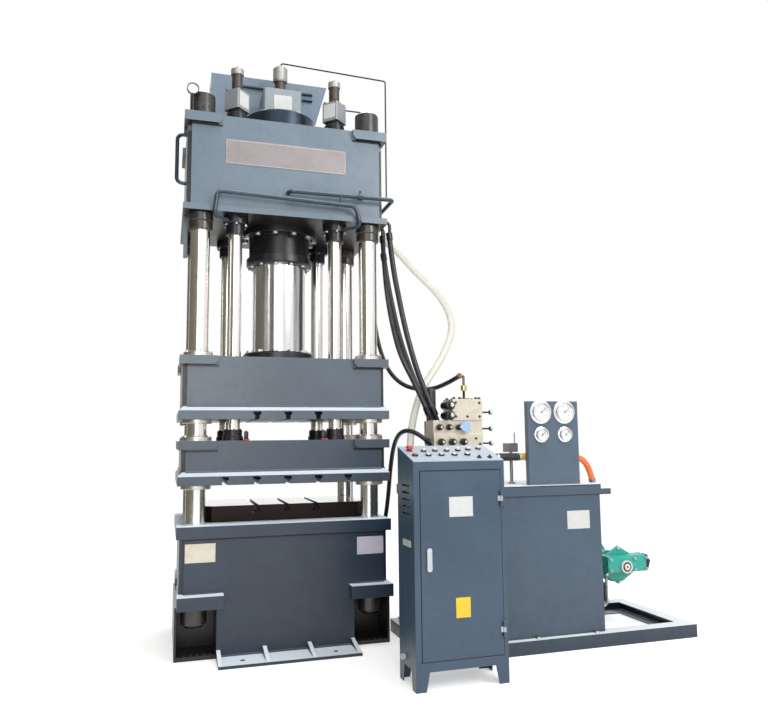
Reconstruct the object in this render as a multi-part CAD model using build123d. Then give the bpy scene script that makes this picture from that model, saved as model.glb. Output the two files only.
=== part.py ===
# Four-column hydraulic press: welded bed and crown tied by four columns, an
# upper slide on the main ram, a second slide on four side rods, a control
# cabinet at the front right and an oil power unit behind it.
# Millimetres. +X to the right, +Y to the back, +Z up. The origin lies on the
# floor under the middle of the bed. Every moving piece is drawn where it rests.
from build123d import *
import math
import os

os.makedirs("parts", exist_ok=True)

# Clearances.
seat_clearance = 0.3          # radial, between fixed pieces that fit together
running_clearance = 0.3       # radial or axial, between pieces that move
pin_clearance = 0.1           # radial, on hinge pins, shafts and button stems
rod_pass_clearance = 5.0      # radial, side rod through the upper slide

# Press frame.
plate_width = 1650.0          # all beams, along X
plate_depth = 1070.0          # crown and slides, along Y
column_pitch_x = 1370.0
column_pitch_y = 820.0
column_d = 150.0
column_chamfer = 8.0
web_t = 40.0                  # front and rear web plates
web_setback = 35.0            # plate edge in front of the web plate
web_end_inset = 57.0          # web plate end inside the plate end
side_inset = 25.0             # side wall inside the plate end
pad_width = 290.0             # corner pad, along X
pad_depth = 300.0             # corner pad, along Y
pad_chamfer = 28.0

# Bed, with open corners for the column nuts and a foot flange front and rear.
bed_height = 970.0
bed_depth = 1110.0
bed_plate_t = 90.0
bed_core_width = 1050.0
bed_setback = 25.0
ledge_top = 480.0
ledge_t = 95.0
ledge_reach = 110.0           # ledge in front of the web plate
ledge_lap = 45.0              # ledge inside the core's side
ledge_inset = 12.0            # ledge end inside the plate end
corner_wall_t = 30.0          # floor of the open corner
corner_side_t = 16.0          # outer wall of the open corner
corner_depth = 290.0
foot_reach = 240.0
foot_t = 22.0
foot_rib_t = 30.0
foot_rib_height = 50.0
anchor_d = 36.0
anchor_pitch_x = 690.0
anchor_inset = 105.0          # anchor hole behind the foot's front edge

# Bolster plate with T-slots, and the T-slot section used on all faces.
bolster_width = 1290.0
bolster_depth = 640.0
bolster_t = 125.0
bolster_corner = 60.0
bolster_shift = 25.0          # to the right of the press axis
t_slot_pitch = 240.0
t_neck = 36.0
t_head = 60.0
t_head_h = 25.0
t_depth = 60.0

# Upper slide, second slide and crown.
upper_slide_z = 1763.0
upper_slide_height = 489.0
second_slide_z = 1267.0
second_slide_height = 334.0
slide_plate_t = 100.0
slide_plate_chamfer = 32.0
slide_pad_t = 68.0
crown_z = 3391.0
crown_height = 798.0
crown_plate_t = 50.0
crown_pad_t = 78.0

# Column nuts.
lock_nut_wall = 25.0          # round nuts, outside the column
lock_nut_h = 180.0
seat_nut_wall = 22.5
seat_nut_h = 70.0
bed_nut_wall = 20.0
bed_nut_h = 140.0
column_end = 18.0             # column past its nut

# Guide bushes in both slides.
bush_wall = 10.0              # outside the column
bush_rim = 27.5               # flange outside the bush
bush_flange_t = 42.0
bush_step = 14.0              # raised collar inside the bolt circle
bush_lip_t = 30.0
bush_length = 130.0           # in the slide, from each side
bush_bolts = 6

# Main cylinder, ram and the flange that clamps the ram to the slide.
ram_d = 450.0
ram_length = 1350.0
ram_flange_rim = 75.0         # outside the ram
ram_flange_t = 78.0
barrel_gap = 1.0              # between ram and barrel
barrel_wall = 54.0
barrel_flange_rim = 45.0      # outside the barrel
barrel_flange_t = 60.0
barrel_reach = 241.0          # barrel below the crown
barrel_drum_rim = 30.0
barrel_drum_h = 215.0         # above the crown
gland_t = 66.0
ring_bolts = 12

# Side cylinders and rods of the second slide.
rod_pitch_x = 820.0
rod_pitch_y = 740.0
rod_d = 110.0
rod_top = 3440.0
rod_socket = 150.0
rod_flange_rim = 25.0
rod_flange_t = 85.0
side_gap = 1.0                # between rod and side cylinder
side_wall = 19.0
side_flange_rim = 25.0
side_flange_t = 60.0
side_gland_h = 90.0
side_cap_rim = 11.0
side_cap_h = 72.0

# Hexagon bolt heads, across flats and height.
big_bolt = 46.0
big_bolt_h = 18.0
small_bolt = 30.0
small_bolt_h = 13.0

# Valves and filling tank on the crown.
prefill_width = 330.0
prefill_height = 245.0
prefill_head_h = 280.0          # neck and cap above the body
prefill_neck_d = 96.0
prefill_cap_d = 130.0
side_valve_width = 150.0
side_valve_height = 195.0
side_valve_chamfer = 8.0
fill_tank_z = 4430.0
fill_tank_top = 4910.0
fill_tank_left = 590.0        # left end from the press axis
fill_tank_right = 470.0       # right end, measured at its top
fill_tank_front = 210.0
fill_tank_depth = 330.0
fill_tank_slant = 135.0

# Painted crown pipes and thin pilot pipes.
crown_pipe_d = 34.0
crown_pipe_bend = 48.0
side_port_drop = 46.0         # side cylinder port below the crown's underside
crown_pipe_gap = 64.0         # pipe centre in front of the crown web
pilot_d = 13.0
pilot_bend = 55.0

# Control cabinet.
cabinet_left = 637.0
cabinet_width = 650.0
cabinet_front = -1650.0
cabinet_depth = 330.0
cabinet_bottom = 120.0
cabinet_front_top = 1450.0
console_rise = 95.0
cabinet_wall = 4.0
cabinet_foot_w = 100.0
cabinet_foot_toe = 70.0
door_margin_left = 43.0
door_margin_right = 31.0
door_bottom = 180.0
door_top = 1390.0
door_gap = 3.0
door_t = 20.0
door_skin = 3.0
frame_lip = 24.0
roof_lip = 22.0               # edge that carries the console
hinge_pin_d = 10.0
hinge_barrel_d = 20.0
hinge_barrel_h = 34.0
hinge_heights = [345.0, 1198.0]
handle_z = 820.0
handle_height = 150.0
handle_width = 34.0
equipment_bottom = 260.0
equipment_top = 1330.0
console_t = 5.0
button_d = 30.0
button_bezel_d = 38.0
button_bezel_h = 8.0
button_proud = 14.0
console_left = 53.0           # first push button from the console's left edge
console_right = 93.0          # last push button of a full row, from its right edge
mushroom_d = 52.0
front_row = 120.0             # push buttons, up the sloping console from its front edge
switch_row = 53.0
back_row = 215.0

# Power unit: channel frame, tank with a folded lid, gauge panel.
base_left = 930.0
base_front = -1157.0
base_rear = -170.0
base_height = 100.0
base_rail = 120.0
channel_t = 10.0
motor_bay_width = 590.0
motor_bay_rear = 520.0
tank_left = 950.0
tank_right = 2390.0
tank_front = -1100.0
tank_rear = -350.0
lid_top = 1230.0
lid_t = 10.0
lid_lip = 80.0
tray_drop = 35.0              # side tray below the lid's top
lid_overhang = 98.0           # beyond the right wall of the tank
lid_edge = 8.0                # beyond the other walls
panel_inset = 560.0           # its left edge from the right wall of the tank
panel_width = 450.0
panel_front = -1000.0
panel_height = 660.0
panel_depth = 55.0
panel_t = 5.0
gauge_pitch = 210.0
gauge_left = 115.0            # first gauge from the panel's left edge
big_gauge_z = 575.0           # above the lid
small_gauge_z = 395.0
big_gauge_d = 190.0
small_gauge_d = 125.0
gauge_proud = 34.0
gauge_recess = 12.0
needle_t = 2.0

# Valve manifold on the lid.
manifold_left = 1110.0
manifold_right = 1530.0
manifold_front = -800.0
manifold_rear = -600.0
manifold_mid = 1640.0
manifold_band = 1745.0
manifold_top = 1915.0
manifold_top_left = 1272.0    # left end of the top block
riser_top = 2042.0

# Pump and motor on one shaft along Y.
shaft_offset = 385.0          # beyond the right wall of the tank
shaft_z = 500.0
pump_front = -850.0
pump_rear = -585.0            # pump flange on the bell housing
pump_flange_d = 250.0
pump_body_d = 190.0
suction_d = 64.0
pump_plate_r = 118.0
pump_plate_t = 50.0
housing_left = 165.0          # control housing from the shaft
housing_right = 225.0
housing_depth = 150.0
bell_flange_d = 350.0
bell_rear = -300.0
bell_d = 240.0
motor_d = 390.0
motor_length = 560.0
motor_stool_h = 170.0
shaft_d = 48.0
fan_d = 290.0

# Free hoses.
return_line_z = 1450.0
return_line_y = -905.0
clear_hose_d = 60.0
thick_hose_d = 46.0
slim_hose_d = 38.0
return_hose_d = 48.0
return_pipe_d = 55.0

# Worked out.
lock_nut_d = column_d + 2 * lock_nut_wall
seat_nut_d = column_d + 2 * seat_nut_wall
bed_nut_d = column_d + 2 * bed_nut_wall
bush_d = column_d + 2 * bush_wall
bush_flange_d = bush_d + 2 * bush_rim
ram_flange_d = ram_d + 2 * ram_flange_rim
barrel_bore = ram_d + 2 * barrel_gap
barrel_d = barrel_bore + 2 * barrel_wall
barrel_flange_d = barrel_d + 2 * barrel_flange_rim
barrel_drum_d = barrel_d + 2 * barrel_drum_rim
rod_flange_d = rod_d + 2 * rod_flange_rim
side_bore = rod_d + 2 * side_gap
side_barrel_d = side_bore + 2 * side_wall
side_flange_d = side_barrel_d + 2 * side_flange_rim
side_cap_d = side_barrel_d + 2 * side_cap_rim
half_w = plate_width / 2
half_d = plate_depth / 2
crown_top = crown_z + crown_height
upper_slide_top = upper_slide_z + upper_slide_height
second_slide_top = second_slide_z + second_slide_height
bolster_top = bed_height + bolster_t
ledge_under = ledge_top - ledge_t
cylinder_bottom = crown_z - barrel_reach
gland_bottom = cylinder_bottom - gland_t
crown_face = -(half_d - web_setback)
crown_pipe_y = crown_face - crown_pipe_gap
column_places = [(x * column_pitch_x / 2, y * column_pitch_y / 2)
                 for y in (-1, 1) for x in (-1, 1)]
rod_places = [(x * rod_pitch_x / 2, y * rod_pitch_y / 2)
              for y in (-1, 1) for x in (-1, 1)]
manifold_y = (manifold_front + manifold_rear) / 2
console_angle = math.degrees(math.atan2(console_rise, cabinet_depth))
cabinet_right = cabinet_left + cabinet_width
cabinet_rear = cabinet_front + cabinet_depth
button_pitch = (cabinet_width - console_left - console_right) / 5.3
stop_place = (console_left - 3, back_row + 20)
lid_left = tank_left - lid_edge
lid_right = tank_right + lid_overhang
panel_left = tank_right - panel_inset
shaft_x = tank_right + shaft_offset
motor_bay_left = shaft_x - motor_bay_width / 2
motor_bay_right = shaft_x + motor_bay_width / 2
base_right = motor_bay_right + base_rail + channel_t
base_rails = [tank_left + 450, panel_left + 50, tank_right - base_rail]
motor_end = bell_rear + motor_length
lid_front = tank_front - lid_edge
lid_rear = tank_rear + lid_edge


# Helpers.
def block(x0, x1, y0, y1, z0, z1):
    """Box between two opposite corners."""
    centre = Pos((x0 + x1) / 2, (y0 + y1) / 2, (z0 + z1) / 2)
    return centre * Box(x1 - x0, y1 - y0, z1 - z0)


def disc(x, y, z0, z1, d):
    """Upright cylinder."""
    return Pos(x, y, (z0 + z1) / 2) * Cylinder(d / 2, z1 - z0)


def ring(x, y, z0, z1, d, bore):
    """Upright ring with its bore cut right through."""
    return disc(x, y, z0, z1, d) - disc(x, y, z0 - 1, z1 + 1, bore)


def turned(profile):
    """Solid of revolution about Z from radius and height pairs."""
    points = [(r, 0, z) for r, z in profile]
    outline = Polyline(*points, close=True)
    return revolve(make_face(outline), Axis.Z)


def along_y(x, y, z, shape):
    """Stand a Z-axis shape on its side so that its top looks to the front."""
    return Pos(x, y, z) * Rot(90, 0, 0) * shape


def hexagon(x, y, z, flats, height):
    """Hexagon bolt head that sits on the height z."""
    outline = RegularPolygon(flats / 2, 6, major_radius=False)
    return Pos(x, y, z) * extrude(outline, height)


def round_places(x, y, pitch_d, count):
    """Centres of a bolt circle, the first half a step from +X."""
    steps = [2 * math.pi * (i + 0.5) / count for i in range(count)]
    return [(x + pitch_d / 2 * math.cos(a), y + pitch_d / 2 * math.sin(a)) for a in steps]


def four_corners(shape):
    """The shape of the +X +Y corner, mirrored to all four corners."""
    pair = [shape, mirror(shape, Plane.YZ)]
    return pair + [mirror(one, Plane.XZ) for one in pair]


def pipe(route, d, bend):
    """Rigid pipe with one bend radius."""
    path = FilletPolyline(*route, radius=bend)
    return sweep(Plane(path @ 0, z_dir=path % 0) * Circle(d / 2), path=path)


def hose_radii(route):
    """Largest arc at each corner: 0.45 of the shorter run by tan of half the turn."""
    radii = []
    for a, b, c in zip(route, route[1:], route[2:]):
        before = Vector(*b) - Vector(*a)
        after = Vector(*c) - Vector(*b)
        half_turn = math.radians(before.get_angle(after)) / 2
        radii.append(0.45 * min(before.length, after.length) / math.tan(half_turn))
    return radii


def hose(name, route, d):
    """Free hose as straight runs joined by tangent arcs."""
    radii = hose_radii(route)
    path = FilletPolyline(*route, radius=radii)
    tube = sweep(Plane(path @ 0, z_dir=path % 0) * Circle(d / 2), path=path)
    expected = math.pi * d * d / 4 * path.length
    print(name, "length", round(path.length), "radii", [round(r) for r in radii],
          "volume ratio", round(tube.volume / expected, 4))
    return tube


def ferrule(end, inner, d, length):
    """Crimped sleeve that carries a hose on from its end point."""
    direction = (Vector(*end) - Vector(*inner)).normalized()
    foot = Plane(Vector(*end), z_dir=direction)
    return foot * (Pos(0, 0, length / 2) * Cylinder(d / 2, length))


def save(name, *shapes):
    """Write one node: every solid of the given shapes."""
    solids = [solid for shape in shapes for solid in shape.solids()]
    node = solids[0] if len(solids) == 1 else Compound(children=solids)
    export_step(node, f"parts/{name}.step")


# Hose routes.
# Each route runs from its upper or outer fitting to the power unit.
clear_route = [
    (870, 60, 3475),
    (1010, -40, 3370),
    (1200, -130, 3110),
    (1440, -210, 2860),
    (1520, -280, 2590),
    (1370, -350, 2290),
    (1140, -420, 2010),
    (1040, -465, 1720),
    (1015, -480, 1470),
    (1010, -505, 1270),
]
crown_route_1 = [
    (920, -300, 3330),
    (936, -330, 3080),
    (962, -400, 2810),
    (992, -460, 2550),
    (1035, -520, 2300),
    (1080, -590, 2075),
    (1145, -675, 1850),
]
crown_route_2 = [
    (930, -95, 3200),
    (950, -130, 2980),
    (968, -215, 2740),
    (992, -295, 2500),
    (1036, -375, 2270),
    (1080, -465, 2070),
    (1118, -610, 1850),
]
crown_route_3 = [
    (885, -200, 3330),
    (884, -250, 3050),
    (890, -310, 2800),
    (912, -375, 2550),
    (950, -450, 2300),
    (1020, -600, 2060),
    (1085, -690, 1850),
]
top_route = [
    (920, 330, 3330),
    (925, 315, 3030),
    (934, 270, 2740),
    (945, 150, 2450),
    (970, -50, 2200),
    (1055, -260, 2045),
    (1240, -350, 2015),
    (1330, -540, 2055),
    (1375, -690, 2105),
]
lower_route = [
    (880, 150, 660),
    (978, 145, 810),
    (1004, 95, 1080),
    (990, -20, 1340),
    (965, -210, 1560),
    (955, -430, 1665),
    (1010, -610, 1670),
    (1085, -690, 1590),
]
return_route = [
    (tank_right - 180, return_line_y, return_line_z),
    (tank_right - 65, return_line_y, return_line_z),
    (lid_right - 63, return_line_y, 1370),
    (lid_right - 38, return_line_y, 1262),
]


# Press frame.
def web_beam(z0, z1, plate_t, pad_t):
    """Closed box beam: bottom plate, body, webs that stand in front, corner pads."""
    plate = block(-half_w, half_w, -half_d, half_d, z0, z0 + plate_t)
    end = half_w - side_inset
    front = half_d - web_setback
    body = block(-end, end, web_t - front, front - web_t, z0 + plate_t, z1)
    web_end = half_w - web_end_inset
    webs = block(-web_end, web_end, -front, front, z0 + plate_t, z1)
    pad = block(half_w - pad_width, half_w, half_d - pad_depth, half_d, z1 - pad_t, z1)
    inner_edge = pad.edges().filter_by(Axis.Y).group_by(Axis.Z)[0].sort_by(Axis.X)[0]
    pads = four_corners(chamfer(inner_edge, pad_chamfer))
    return plate, [body, webs] + pads


def slide_beam(z0, height, slots):
    """Slide with a chamfered bottom plate, T-slots and bores for its bushes."""
    plate, upper = web_beam(z0, z0 + height, slide_plate_t, slide_pad_t)
    top_edges = plate.edges().group_by(Axis.Z)[-1]
    beam = chamfer(top_edges, slide_plate_chamfer)
    for piece in upper:
        beam = beam + piece
    beam = beam - t_slots(slots, z0, 1, plate_depth)
    for x, y in column_places:
        beam = beam - disc(x, y, z0 - 1, z0 + height + 1, bush_d + 2 * seat_clearance)
    return beam


def t_slots(count, face_z, inward, depth_y):
    """T-slots along Y that open at face_z; inward is +1 up or -1 down."""
    cut = []
    for i in range(count):
        x = (i - (count - 1) / 2) * t_slot_pitch
        low, high = sorted([face_z - inward, face_z + inward * t_depth])
        cut.append(block(x - t_neck / 2, x + t_neck / 2, -depth_y, depth_y, low, high))
        deep = face_z + inward * t_depth
        low, high = sorted([deep, deep - inward * t_head_h])
        cut.append(block(x - t_head / 2, x + t_head / 2, -depth_y, depth_y, low, high))
    return cut


def bed_frame():
    """Bed with T-shaped webs, open corners under the ledges and foot flanges."""
    half = bed_depth / 2
    face = half - bed_setback
    back = face - web_t
    end = half_w - side_inset
    core = bed_core_width / 2
    plate_z = bed_height - bed_plate_t
    bed = block(-half_w, half_w, -half, half, plate_z, bed_height)
    bed = bed + block(-end, end, -back, back, 0, plate_z)
    bed = bed + block(-half_w, half_w, -back, back, 0, ledge_under)
    web_end = half_w - web_end_inset
    bed = bed + block(-web_end, web_end, -face, face, ledge_under, plate_z)
    bed = bed + block(-core, core, -face, face, 0, ledge_top)
    ledge = block(core - ledge_lap, half_w - ledge_inset, back - corner_depth - corner_wall_t,
                  face + ledge_reach, ledge_under, ledge_top)
    for corner in four_corners(ledge):
        bed = bed + corner
    hollow = block(core, half_w - corner_side_t, back - corner_depth, half,
                   corner_wall_t, ledge_under)
    for corner in four_corners(hollow):
        bed = bed - corner
    for side in (-1, 1):
        bed = bed + foot_flange(side, core, face)
    for x, y in column_places:
        bed = bed - disc(x, y, ledge_under - 1, bed_height + 1, column_d + 2 * seat_clearance)
    return bed


def foot_flange(side, core, face):
    """Foot flange with four ribs and two anchor holes; side is -1 at the front."""
    toe = face + foot_reach
    low, high = sorted([side * (face - web_t), side * toe])
    flange = block(-core, core, low, high, 0, foot_t)
    rib_step = (2 * core - foot_rib_t) / 3
    for i in range(4):
        x = -core + i * rib_step
        outline = Polyline((x, side * (face - web_t), foot_t), (x, side * (toe - 15), foot_t),
                           (x, side * face, foot_t + foot_rib_height),
                           (x, side * (face - web_t), foot_t + foot_rib_height), close=True)
        flange = flange + extrude(make_face(outline), foot_rib_t, dir=(1, 0, 0))
    for x in (-anchor_pitch_x / 2, anchor_pitch_x / 2):
        y = side * (toe - anchor_inset)
        flange = flange - disc(x, y, -1, foot_t + 1, anchor_d)
    return flange


def bolster_plate():
    """Bolster with three T-slots on top and cut corners."""
    half_x, half_y = bolster_width / 2, bolster_depth / 2
    plate = block(-half_x, half_x, -half_y, half_y, bed_height, bolster_top)
    plate = chamfer(plate.edges().filter_by(Axis.Z), bolster_corner)
    return Pos(bolster_shift, 0, 0) * (plate - t_slots(3, bolster_top, -1, bolster_depth))


def crown_frame():
    """Crown with bores for the columns and cylinders, and a switch bracket."""
    plate, upper = web_beam(crown_z, crown_top, crown_plate_t, crown_pad_t)
    crown = plate
    for piece in upper:
        crown = crown + piece
    crown = crown - disc(0, 0, crown_z - 1, crown_top + 1, barrel_d + 2 * seat_clearance)
    for x, y in column_places:
        crown = crown - disc(x, y, crown_z - 1, crown_top + 1, column_d + 2 * seat_clearance)
    for x, y in rod_places:
        crown = crown - disc(x, y, crown_z - 1, crown_top + 1, side_barrel_d + 2 * seat_clearance)
    bracket_x = -half_w + side_inset
    bracket = block(bracket_x - 12, bracket_x + 18, -320, -270, crown_z - 330, crown_z + 40)
    return crown + bracket


def column():
    """One column, drawn on the Z axis, with chamfered ends."""
    z0 = ledge_under - bed_nut_h - column_end
    z1 = crown_top + lock_nut_h + column_end
    r, c = column_d / 2, column_chamfer
    return turned([(0, z0), (r - c, z0), (r, z0 + c), (r, z1 - c), (r - c, z1), (0, z1)])


def round_nut(z0, z1, d):
    """Round column nut with chamfered rims."""
    bore = column_d / 2 + seat_clearance
    r, c = d / 2, 6
    return turned([(bore, z0), (r - c, z0), (r, z0 + c), (r, z1 - c), (r - c, z1), (bore, z1)])


def column_nuts():
    """Lock nuts on the crown, two seat nuts under it and lock nuts in the bed."""
    stack = [
        round_nut(crown_top, crown_top + lock_nut_h, lock_nut_d),
        round_nut(crown_z - seat_nut_h, crown_z, seat_nut_d),
        round_nut(crown_z - 2 * seat_nut_h, crown_z - seat_nut_h, seat_nut_d - 8),
        round_nut(ledge_under - bed_nut_h, ledge_under, bed_nut_d),
    ]
    return [Pos(x, y, 0) * nut for x, y in column_places for nut in stack]


def main_cylinder_barrel():
    """Barrel with a bolted flange under the crown and a drum on top of it."""
    bore, r = barrel_bore / 2, barrel_d / 2
    top = crown_top + barrel_drum_h
    neck = r - 22
    flange_z = crown_z - barrel_flange_t
    return turned([
        (bore, cylinder_bottom), (neck, cylinder_bottom), (neck, flange_z),
        (barrel_flange_d / 2, flange_z), (barrel_flange_d / 2, crown_z),
        (r, crown_z), (r, crown_top), (barrel_drum_d / 2, crown_top),
        (barrel_drum_d / 2, top - 10), (barrel_drum_d / 2 - 10, top),
        (0, top), (0, top - 60), (bore, top - 60),
    ])


def main_cylinder_gland():
    """Gland ring that guides the ram."""
    bore = ram_d / 2 + running_clearance
    r = barrel_d / 2
    return turned([
        (bore, gland_bottom), (r - 12, gland_bottom), (r, gland_bottom + 12),
        (r, cylinder_bottom), (bore, cylinder_bottom),
    ])


def main_ram():
    """Plunger that stands on the upper slide and reaches into the barrel."""
    r = ram_d / 2
    z0, z1 = upper_slide_top, upper_slide_top + ram_length
    return turned([(0, z0), (r, z0), (r, z1 - 15), (r - 15, z1), (0, z1)])


def ram_flange():
    """Clamping ring round the foot of the ram."""
    z0, z1 = upper_slide_top, upper_slide_top + ram_flange_t
    bore, r = ram_d / 2 + seat_clearance, ram_flange_d / 2
    return turned([(bore, z0), (r, z0), (r, z1 - 10), (r - 10, z1), (bore, z1)])


def side_cylinder():
    """Side cylinder on the Z axis: gland, flange, barrel in the crown and cap."""
    bore = side_bore / 2
    flange_z = crown_z - side_flange_t
    gland_z = flange_z - side_gland_h
    r, cap, top = side_barrel_d / 2, side_cap_d / 2, crown_top + side_cap_h
    rod = rod_d / 2 + running_clearance
    return turned([
        (rod, gland_z), (r - 6, gland_z), (r, gland_z + 6), (r, flange_z),
        (side_flange_d / 2, flange_z), (side_flange_d / 2, crown_z),
        (r, crown_z), (r, crown_top), (cap, crown_top), (cap, top - 6),
        (cap - 6, top), (0, top), (0, top - 25), (bore, top - 25),
        (bore, gland_z + 40), (rod, gland_z + 40),
    ])


def frame_bolts():
    """Bolt heads under the barrel flange, the gland and the side cylinders."""
    flange_z = crown_z - barrel_flange_t - big_bolt_h
    places = round_places(0, 0, barrel_flange_d - 56, ring_bolts)
    heads = [hexagon(x, y, flange_z, big_bolt, big_bolt_h) for x, y in places]
    places = round_places(0, 0, (barrel_d + ram_d) / 2 - 8, ring_bolts)
    heads += [hexagon(x, y, gland_bottom - small_bolt_h, small_bolt, small_bolt_h)
              for x, y in places]
    side_z = crown_z - side_flange_t - small_bolt_h
    for cx, cy in rod_places:
        places = round_places(cx, cy, (side_flange_d + side_barrel_d) / 2, 6)
        size = (side_flange_d - side_barrel_d) / 2 - 3
        heads += [hexagon(x, y, side_z, size, small_bolt_h) for x, y in places]
    return heads


# Slides.
def guide_bushes(z0, z1):
    """Flanged bush on top and lipped bush below at each column of a slide."""
    bore = column_d / 2 + running_clearance
    r, lip = bush_d / 2, bush_flange_d / 2
    upper = turned([
        (bore, z1 - bush_length), (r, z1 - bush_length), (r, z1), (lip, z1),
        (lip, z1 + bush_flange_t - bush_step), (r, z1 + bush_flange_t - bush_step),
        (r, z1 + bush_flange_t), (bore, z1 + bush_flange_t),
    ])
    lower = turned([
        (bore, z0 - bush_lip_t), (lip - 4, z0 - bush_lip_t), (lip, z0 - bush_lip_t + 4),
        (lip, z0), (r, z0), (r, z0 + bush_length), (bore, z0 + bush_length),
    ])
    return [Pos(x, y, 0) * bush for x, y in column_places for bush in (upper, lower)]


def bush_bolt_heads(z1):
    """Bolt heads on the rim of each top bush flange."""
    heads = []
    pitch = (bush_flange_d + bush_d) / 2
    size = (bush_flange_d - bush_d) / 2 - 6
    seat = z1 + bush_flange_t - bush_step
    for cx, cy in column_places:
        for x, y in round_places(cx, cy, pitch, bush_bolts):
            heads.append(hexagon(x, y, seat, size, small_bolt_h))
    return heads


def upper_slide():
    """Upper slide with clear holes for the side rods."""
    beam = slide_beam(upper_slide_z, upper_slide_height, 3)
    for x, y in rod_places:
        beam = beam - disc(x, y, upper_slide_z - 1, upper_slide_top + 1,
                           rod_d + 2 * rod_pass_clearance)
    return beam


def second_slide():
    """Second slide with blind sockets for the side rods."""
    beam = slide_beam(second_slide_z, second_slide_height, 5)
    for x, y in rod_places:
        beam = beam - disc(x, y, second_slide_top - rod_socket, second_slide_top + 1,
                           rod_d + 2 * seat_clearance)
    return beam


def side_rods():
    """Four rods from the second slide up into the side cylinders."""
    z0, z1 = second_slide_top - rod_socket, rod_top
    r = rod_d / 2
    rod = turned([(0, z0), (r, z0), (r, z1 - 6), (r - 6, z1), (0, z1)])
    return [Pos(x, y, 0) * rod for x, y in rod_places]


def rod_flanges():
    """Stepped clamping flange round the foot of each side rod."""
    z0, z1 = second_slide_top, second_slide_top + rod_flange_t
    bore, r = rod_d / 2 + seat_clearance, rod_flange_d / 2
    flange = turned([
        (bore, z0), (r, z0), (r, z0 + 30), (r - 8, z0 + 36), (r - 8, z1 - 5),
        (r - 13, z1), (bore, z1),
    ])
    return [Pos(x, y, 0) * flange for x, y in rod_places]


def upper_slide_bolts():
    """Heads on the ram flange and on the bushes of the upper slide."""
    heads = bush_bolt_heads(upper_slide_top)
    pitch = (ram_flange_d + ram_d) / 2
    for x, y in round_places(0, 0, pitch, ring_bolts):
        heads.append(hexagon(x, y, upper_slide_top + ram_flange_t, big_bolt, big_bolt_h))
    return heads


# Crown top.
def prefill_valve():
    """Filling valve on the main cylinder, with a capped pilot head."""
    z0 = crown_top + barrel_drum_h
    z1 = z0 + prefill_height
    top = z1 + prefill_head_h
    half = prefill_width / 2
    body = block(-half, half, -half, half, z0, z1)
    body = chamfer(body.edges().filter_by(Axis.Z), 12)
    neck, cap = prefill_neck_d / 2, prefill_cap_d / 2
    head = turned([
        (0, z1), (cap, z1), (cap, z1 + 22), (neck, z1 + 30), (neck, top - 155),
        (cap, top - 130), (cap, top - 20), (cap - 14, top), (0, top),
    ])
    inlet = along_y(0, 0, z0 + 140, Cylinder(80, 2 * (fill_tank_front - seat_clearance)))
    inlet = inlet - block(-200, 200, -fill_tank_front - 1, 0, z0, z1)
    return body + head + inlet


def side_valve():
    """Valve on a front side cylinder: a turned block with neck and cap."""
    z0 = crown_top + side_cap_h
    z1 = z0 + side_valve_height
    half = side_valve_width / 2
    base = turned([(0, z0), (70, z0), (70, z0 + 30), (0, z0 + 30)])
    block_part = block(-half, half, -half, half, z0 + 30, z1)
    block_part = Rot(0, 0, 45) * chamfer(block_part.edges().filter_by(Axis.Z), side_valve_chamfer)
    head = turned([
        (0, z1), (56, z1), (45, z1 + 18), (45, z1 + 145), (53, z1 + 151),
        (53, z1 + 197), (40, z1 + 205), (8, z1 + 209), (8, z1 + 230), (0, z1 + 230),
    ])
    return base + block_part + head


def prefill_tank():
    """Filling tank behind the valves, slanted at its right end, on two rear legs."""
    y0 = fill_tank_front
    y1 = y0 + fill_tank_depth
    left, right, top = -fill_tank_left, fill_tank_right, fill_tank_top
    outline = Polyline((left, y0, fill_tank_z), (right - fill_tank_slant, y0, fill_tank_z),
                       (right, y0, top), (left, y0, top), close=True)
    tank = extrude(make_face(outline), fill_tank_depth, dir=(0, 1, 0))
    leg = block(-36, 36, y1 - 80, y1 - 8, crown_top, fill_tank_z)
    for x in (-200, 200):
        tank = tank + Pos(x, 0, 0) * leg
    rail_end = right - fill_tank_slant - 5
    for length, z in ((710, top - 95), (230, top - 155)):
        rail = Pos(rail_end - length / 2, y0 - 11, z) * Rot(0, 90, 0) * Cylinder(13, length)
        tank = tank + rail
    return tank


def side_loop():
    """Loop pipe on the left wall of the crown."""
    x = -(half_w - side_inset)
    high = crown_top - crown_pad_t - crown_pipe_d
    low = crown_z + 280
    return pipe([(x, -300, high), (x - 75, -300, high), (x - 75, -300, low),
                 (x, -300, low)], crown_pipe_d - 4, 45)


def front_pipes():
    """Painted pipes along the front of the crown; the lower one feeds two cylinders."""
    d, y = crown_pipe_d, crown_pipe_y
    rx, ry = rod_pitch_x / 2, -rod_pitch_y / 2
    low = crown_z - side_port_drop
    lower = pipe([(-rx, ry, low), (-rx - 181, y, low), (-rx - 160, y, crown_z + 154),
                  (rx + 135, y, crown_z + 120), (rx + 181, y, low), (rx, ry, low)],
                 d, crown_pipe_bend)
    sockets = [disc(x, ry, low - 60, low + 60, side_flange_d + 2 * seat_clearance)
               for x in (-rx, rx)]
    high = crown_z + 203
    wall, reach = half_w - side_inset, half_w + 45
    upper = pipe([(-5, crown_face, high), (-5, y, high), (reach, y, high),
                  (reach, -150, high), (wall, -150, high)], d, 42)
    link = disc(rx + 12, y, crown_z + 125, high, 20)
    nut = Pos(rx + 175, y, high) * Rot(0, 90, 0) * Cylinder(27, 34)
    stem = disc(rx + 175, y, high, high + 52, 18)
    return [lower - sockets + link + upper + nut + stem]


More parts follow.
